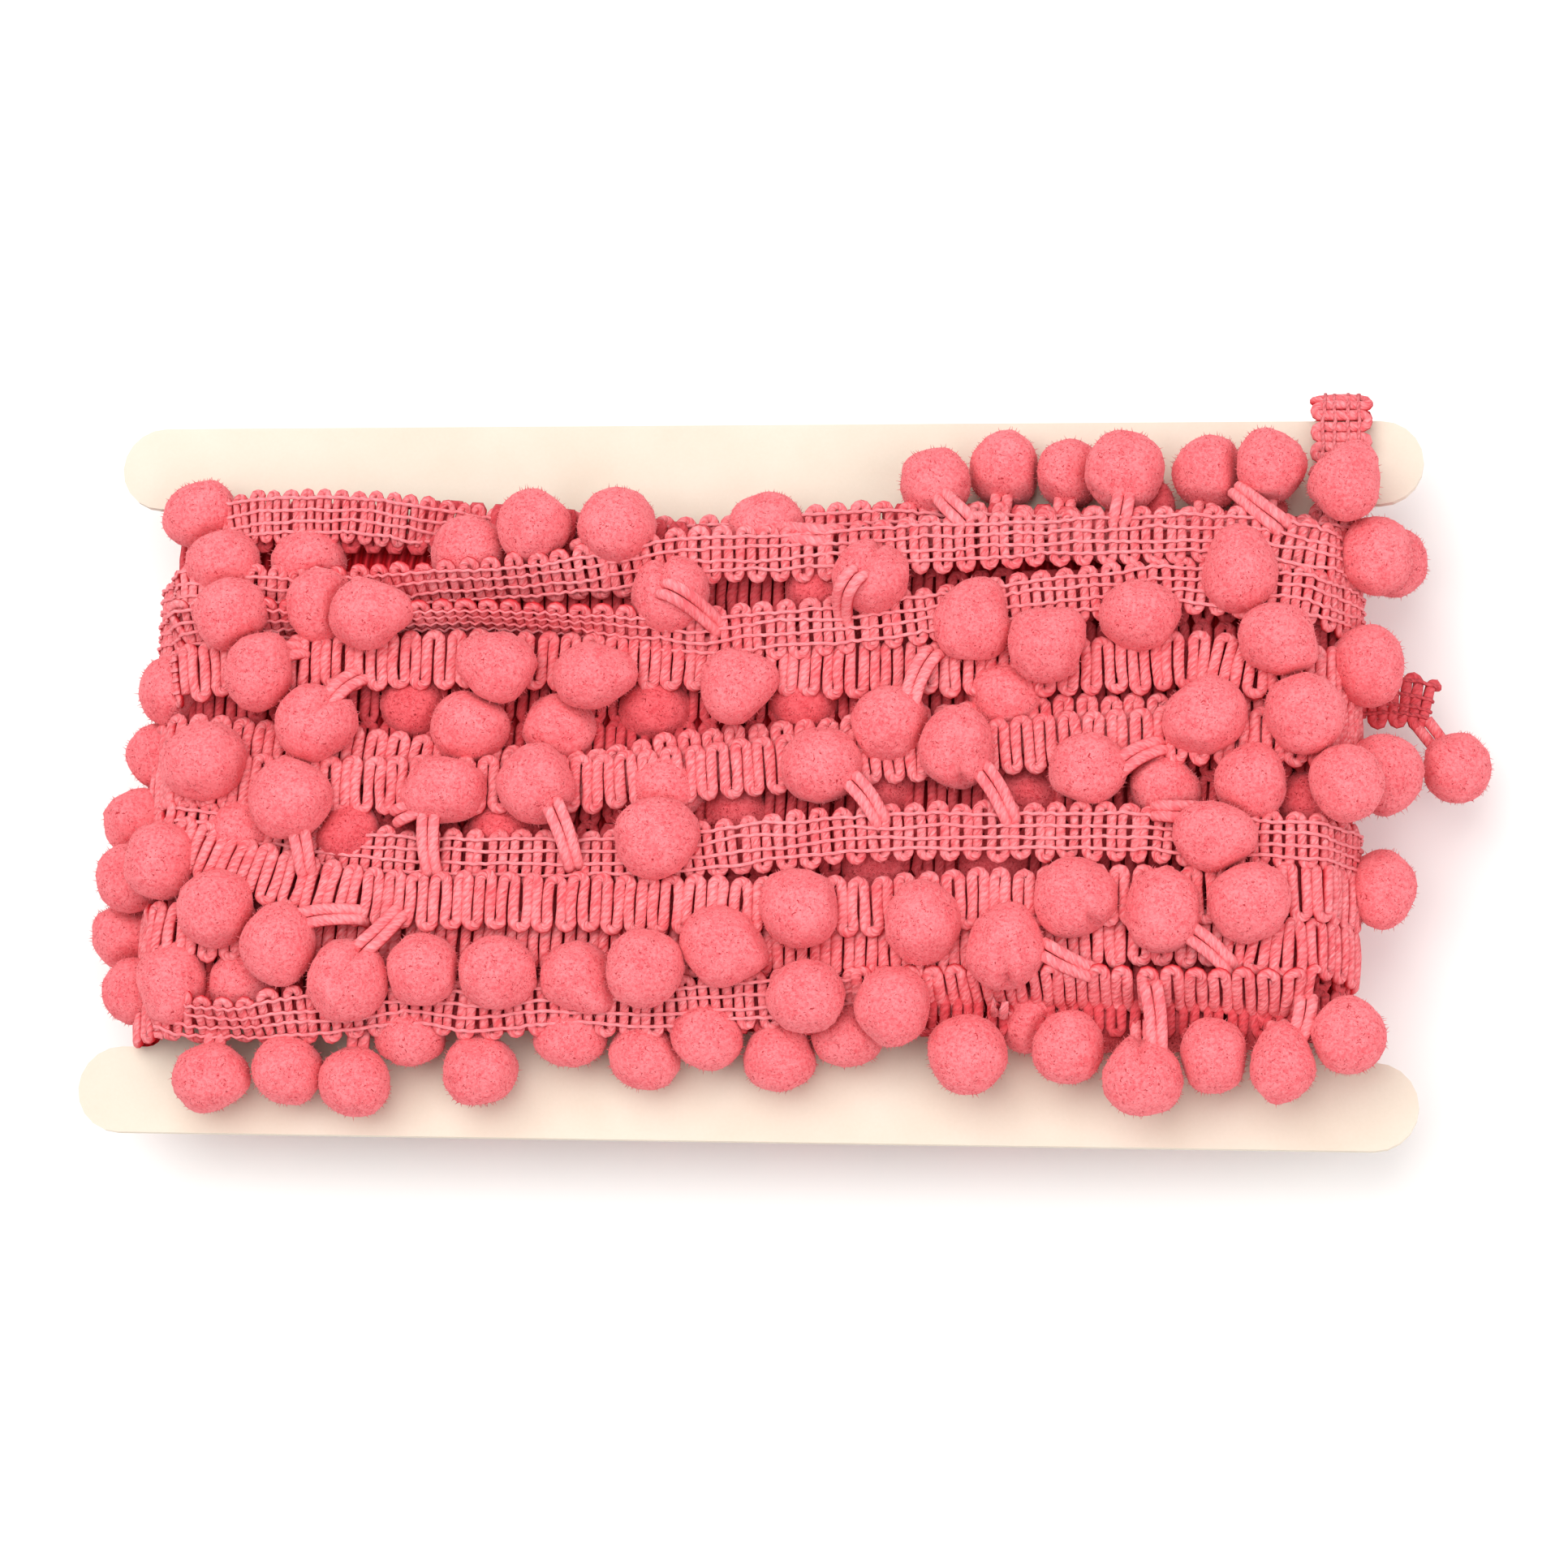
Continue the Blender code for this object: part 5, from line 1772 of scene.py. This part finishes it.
@dataclass
class LooseEnds:
    """The braid's two ends: one over the card's top edge, one off the right fold.

    The rows of the upper end are its place up the card and its height over the card's front face.
    Those of the side end are its place, with its height from that face, and its outward direction.
    """

    card: CardSize
    braid: Braid = field(default_factory=Braid)
    clear: float = 2.0
    half_thick: float = 0.85
    edge_room: float = 0.2
    close_pitch: float = 1.85
    margin: float = 0.3
    top_x: float = 97.4
    top_rows: tuple[tuple[float, float], ...] = ((42.0, 3.9), (46.5, 3.7))
    top_foot: float = 54.0
    top_tip: float = 50.0
    side_rows: tuple[Row, ...] = (
        ((99.6, 14.8, -5.0), (-0.3, 0.0, 1.0)), ((103.4, 15.0, -5.2), (-0.1, 0.0, 1.0)),
        ((107.0, 15.0, -5.4), (0.0, 0.0, 1.0)), ((110.4, 14.6, -5.8), (0.2, 0.0, 1.0)),
        ((112.8, 14.0, -7.2), (0.6, 0.0, 0.8)))
    pompom: Place = (116.6, 3.4, -6.0)
    pompom_size: float = 11.8
    pompom_seed: int = 77
    loop_root: Place = (111.0, 11.0, -6.4)
    loop_bow: float = 0.2

    def over_edge(self) -> Lay:
        """Find the line of the end that turns over the card's top edge.

        Returns:
            The line.
        """
        lift = self.clear + self.half_thick
        reach = self.card.half + lift
        rows: list[Row] = [((self.top_x, y, self.card.front + height), UP) for y, height in self.top_rows]
        rows.append(((self.top_x, self.top_foot, self.card.front + lift), UP))
        for turn in range(90, -91, -30):
            angle = math.radians(turn)
            place = (self.top_x, self.card.top + self.edge_room + reach * math.cos(angle),
                     self.card.middle + reach * math.sin(angle))
            rows.append((place, (0.0, math.cos(angle), math.sin(angle))))
        rows.append(((self.top_x, self.top_tip, self.card.back - lift), DOWN))
        return Lay(rows)

    def off_fold(self) -> Lay:
        """Find the line of the end that stands off the right fold.

        Returns:
            The line.
        """
        return Lay([((x, y, self.card.front + height), out) for (x, y, height), out in self.side_rows])

    def end(self, name: str, lay: Lay, node: str, held: str, rests_on: list[str],
            material: bpy.types.Material, extra: list[bpy.types.Object]) -> None:
        """Args:
            name: Name of the piece.
            lay: The line that it follows.
            node: The solid that it stands for.
            held: How it is held; not used.
            rests_on: What it lies on; not used.
            material: The yarn.
            extra: Other pieces that go with it; not used.
        """
        ribs = round(lay.length / self.close_pitch)
        stock, warps = Stock(), Stock()
        start, end = self.margin, lay.length - self.margin
        self.braid.weft(stock, lay, start, end, np.zeros(ribs, bool))
        self.braid.warps(warps, lay, start, end, ribs)
        piece = stock.make(name, material)
        warp = warps.make(name + "_warps", material)
        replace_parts(piece, node)

    def build(self, yarn: bpy.types.Material, shaded: bpy.types.Material,
              pile: bpy.types.Material, pompoms: Pompoms) -> None:
        """Build both ends, and the pompom on the side one.

        Args:
            yarn: The yarn of the end at the top.
            shaded: Yarn of the side end, deep beside the fold: a deeper red that paints shade.
            pile: The pile of the side end's pompom.
            pompoms: What shapes that pompom.
        """
        up = np.array([0.0, 0.0, self.card.front])
        place = np.array(self.pompom) + up
        ball, loop = Stock(), Stock()
        pompoms.add(ball, 0, [Pompom(place, np.full(3, self.pompom_size / 2))], self.pompom_seed)
        side_ball = ball.make("side_pompom", pile)
        LongLoops(self.card).strands(loop, [np.array(self.loop_root) + up, place], self.loop_bow)
        side_loop = loop.make("side_loop", yarn)
        self.end("top_end", self.over_edge(), "tail_top", "draped", ["card"], yarn, [])
        self.end("side_end", self.off_fold(), "tail_side", "folded", ["wound_trim"], shaded,
                 [side_ball, side_loop])


@dataclass(frozen=True)
class SoftLight:
    """One square soft light that looks at the object. Its place and side are in metres."""

    name: str
    place: Place
    side: float
    watts: float
    colour: str
    aim: Place = (0.0, 0.0, 0.02)

    def hang(self) -> None:
        """Hang the light at its place."""
        light = bpy.data.lights.new(self.name, 'AREA')
        light.shape = 'SQUARE'
        light.size = self.side
        light.energy = self.watts
        light.color = linear(self.colour)[:3]
        made = bpy.data.objects.new(self.name, light)
        made.location = self.place
        made.rotation_mode = 'QUATERNION'
        made.rotation_quaternion = (Vector(self.aim) - Vector(self.place)).to_track_quat("-Z", "Y")
        bpy.context.scene.collection.objects.link(made)


@dataclass
class Studio:
    """The pale floor, the soft lights and the camera at the photograph's place.

    The key light hangs at the upper left, and the fill at the lower right.
    """

    sight: Sight = SIGHT
    floor_size: float = 6.0
    sensor: float = 36.0
    nearest: float = 0.01
    key: SoftLight = SoftLight("key", (-0.24, 0.2, 1.0), 1.1, 10.4, "#FFFDFA")
    fill: SoftLight = SoftLight("fill", (0.75, -0.35, 0.8), 0.9, 4.9, "#FFFFFF")
    air: str = "#FFFFFF"
    air_strength: float = 0.56

    def floor(self) -> None:
        """Lay the pale floor at the height the object rests on."""
        half = self.floor_size / 2
        mesh = bpy.data.meshes.new("studio_floor")
        corners = [(-half, -half, 0), (half, -half, 0), (half, half, 0), (-half, half, 0)]
        mesh.from_pydata(corners, [], [(0, 1, 2, 3)])
        made = bpy.data.objects.new("studio_floor", mesh)
        mesh.materials.append(StudioPaper().material())
        bpy.context.scene.collection.objects.link(made)

    def lights(self) -> None:
        """Hang the soft lights and give the air around them its even light."""
        self.key.hang()
        self.fill.hang()
        world = bpy.data.worlds.new("studio_air")
        world.use_nodes = True
        air = world.node_tree.nodes["Background"]
        air.inputs["Color"].default_value = linear(self.air)
        air.inputs["Strength"].default_value = self.air_strength
        bpy.context.scene.world = world
        bpy.context.scene.view_settings.view_transform = 'Standard'

    def camera(self, card_front: float) -> None:
        """Stand the camera at the photograph's eye point.

        Args:
            card_front: Height of the card's front face, in millimetres.
        """
        lens = bpy.data.cameras.new("camera")
        lens.sensor_width = self.sensor
        lens.lens = self.sight.focal_px / self.sight.frame_px * self.sensor
        lens.clip_start = self.nearest
        made = bpy.data.objects.new("camera", lens)
        forward = Vector(self.sight.forward).normalized()
        up = Vector(self.sight.up).normalized()
        right = forward.cross(up).normalized()
        up = right.cross(forward)
        turn = Matrix((right, up, -forward)).transposed().to_4x4()
        place = Vector((self.sight.x, self.sight.y, card_front + self.sight.height)) * MM
        made.matrix_world = Matrix.Translation(place) @ turn
        bpy.context.scene.collection.objects.link(made)
        bpy.context.scene.camera = made

    def build(self, card_front: float) -> None:
        """Build floor, lights and camera.

        Args:
            card_front: Height of the card's front face, in millimetres.
        """
        self.floor()
        self.lights()
        self.camera(card_front)


@dataclass
class Card:
    """The plain I-shaped board that the trim is wound on; its solid stays and is dressed."""

    node: str = "card"
    finish: UncoatedBoard = UncoatedBoard()

    def size(self) -> CardSize:
        """The heights of its back and front face and the place of its top edge."""
        low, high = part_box(self.node)
        return CardSize(low.z / MM, high.z / MM, high.y / MM)

    def dress(self, board: bpy.types.Object) -> None:
        """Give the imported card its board.

        Args:
            board: The card's packed object.
        """
        board.data.materials.clear()
        board.data.materials.append(self.finish.material())
        log.info("card: %d triangles", sum(len(face.vertices) - 2 for face in board.data.polygons))


def main() -> None:
    """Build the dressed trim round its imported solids."""
    logging.basicConfig(level=logging.INFO, format="%(name)s: %(message)s")
    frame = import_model()
    card = Card()
    size = card.size()
    card.dress(frame["nodes"][card.node])
    yarn = SpunYarn().material()
    # A deeper red copy of the yarn for the covered turns and the side end: painted shade.
    shaded = SpunYarn("painted_shade_acrylic_yarn", "#E3646B", "#C93842", "#A60E18").material()
    fine = SpunYarn("fine_warp_yarn", "#FFA3A8", "#EE707A", "#D03842", ply_twist_mm=2.4,
                    fluff_mm=0.16).material()
    pile = FeltedPile().material()
    # A deeper red copy of the pile for the deep pompoms: painted shade.
    shaded_pile = FeltedPile("painted_shade_acrylic_pile", "#E8686F", "#CC424B", "#8A1018").material()
    Winding(size).build(yarn, shaded, fine)
    pompoms = Pompoms(size)
    pompoms.build(pile, shaded_pile)
    looped = SpunYarn("looped_acrylic_yarn", "#FF9EA3", "#EA616A", "#CC333D").material()
    LongLoops(size).build(looped, pompoms.balls())
    LooseEnds(size).build(yarn, shaded, pile, pompoms)
    Studio().build(size.front)


if __name__ == "__main__":
    main()
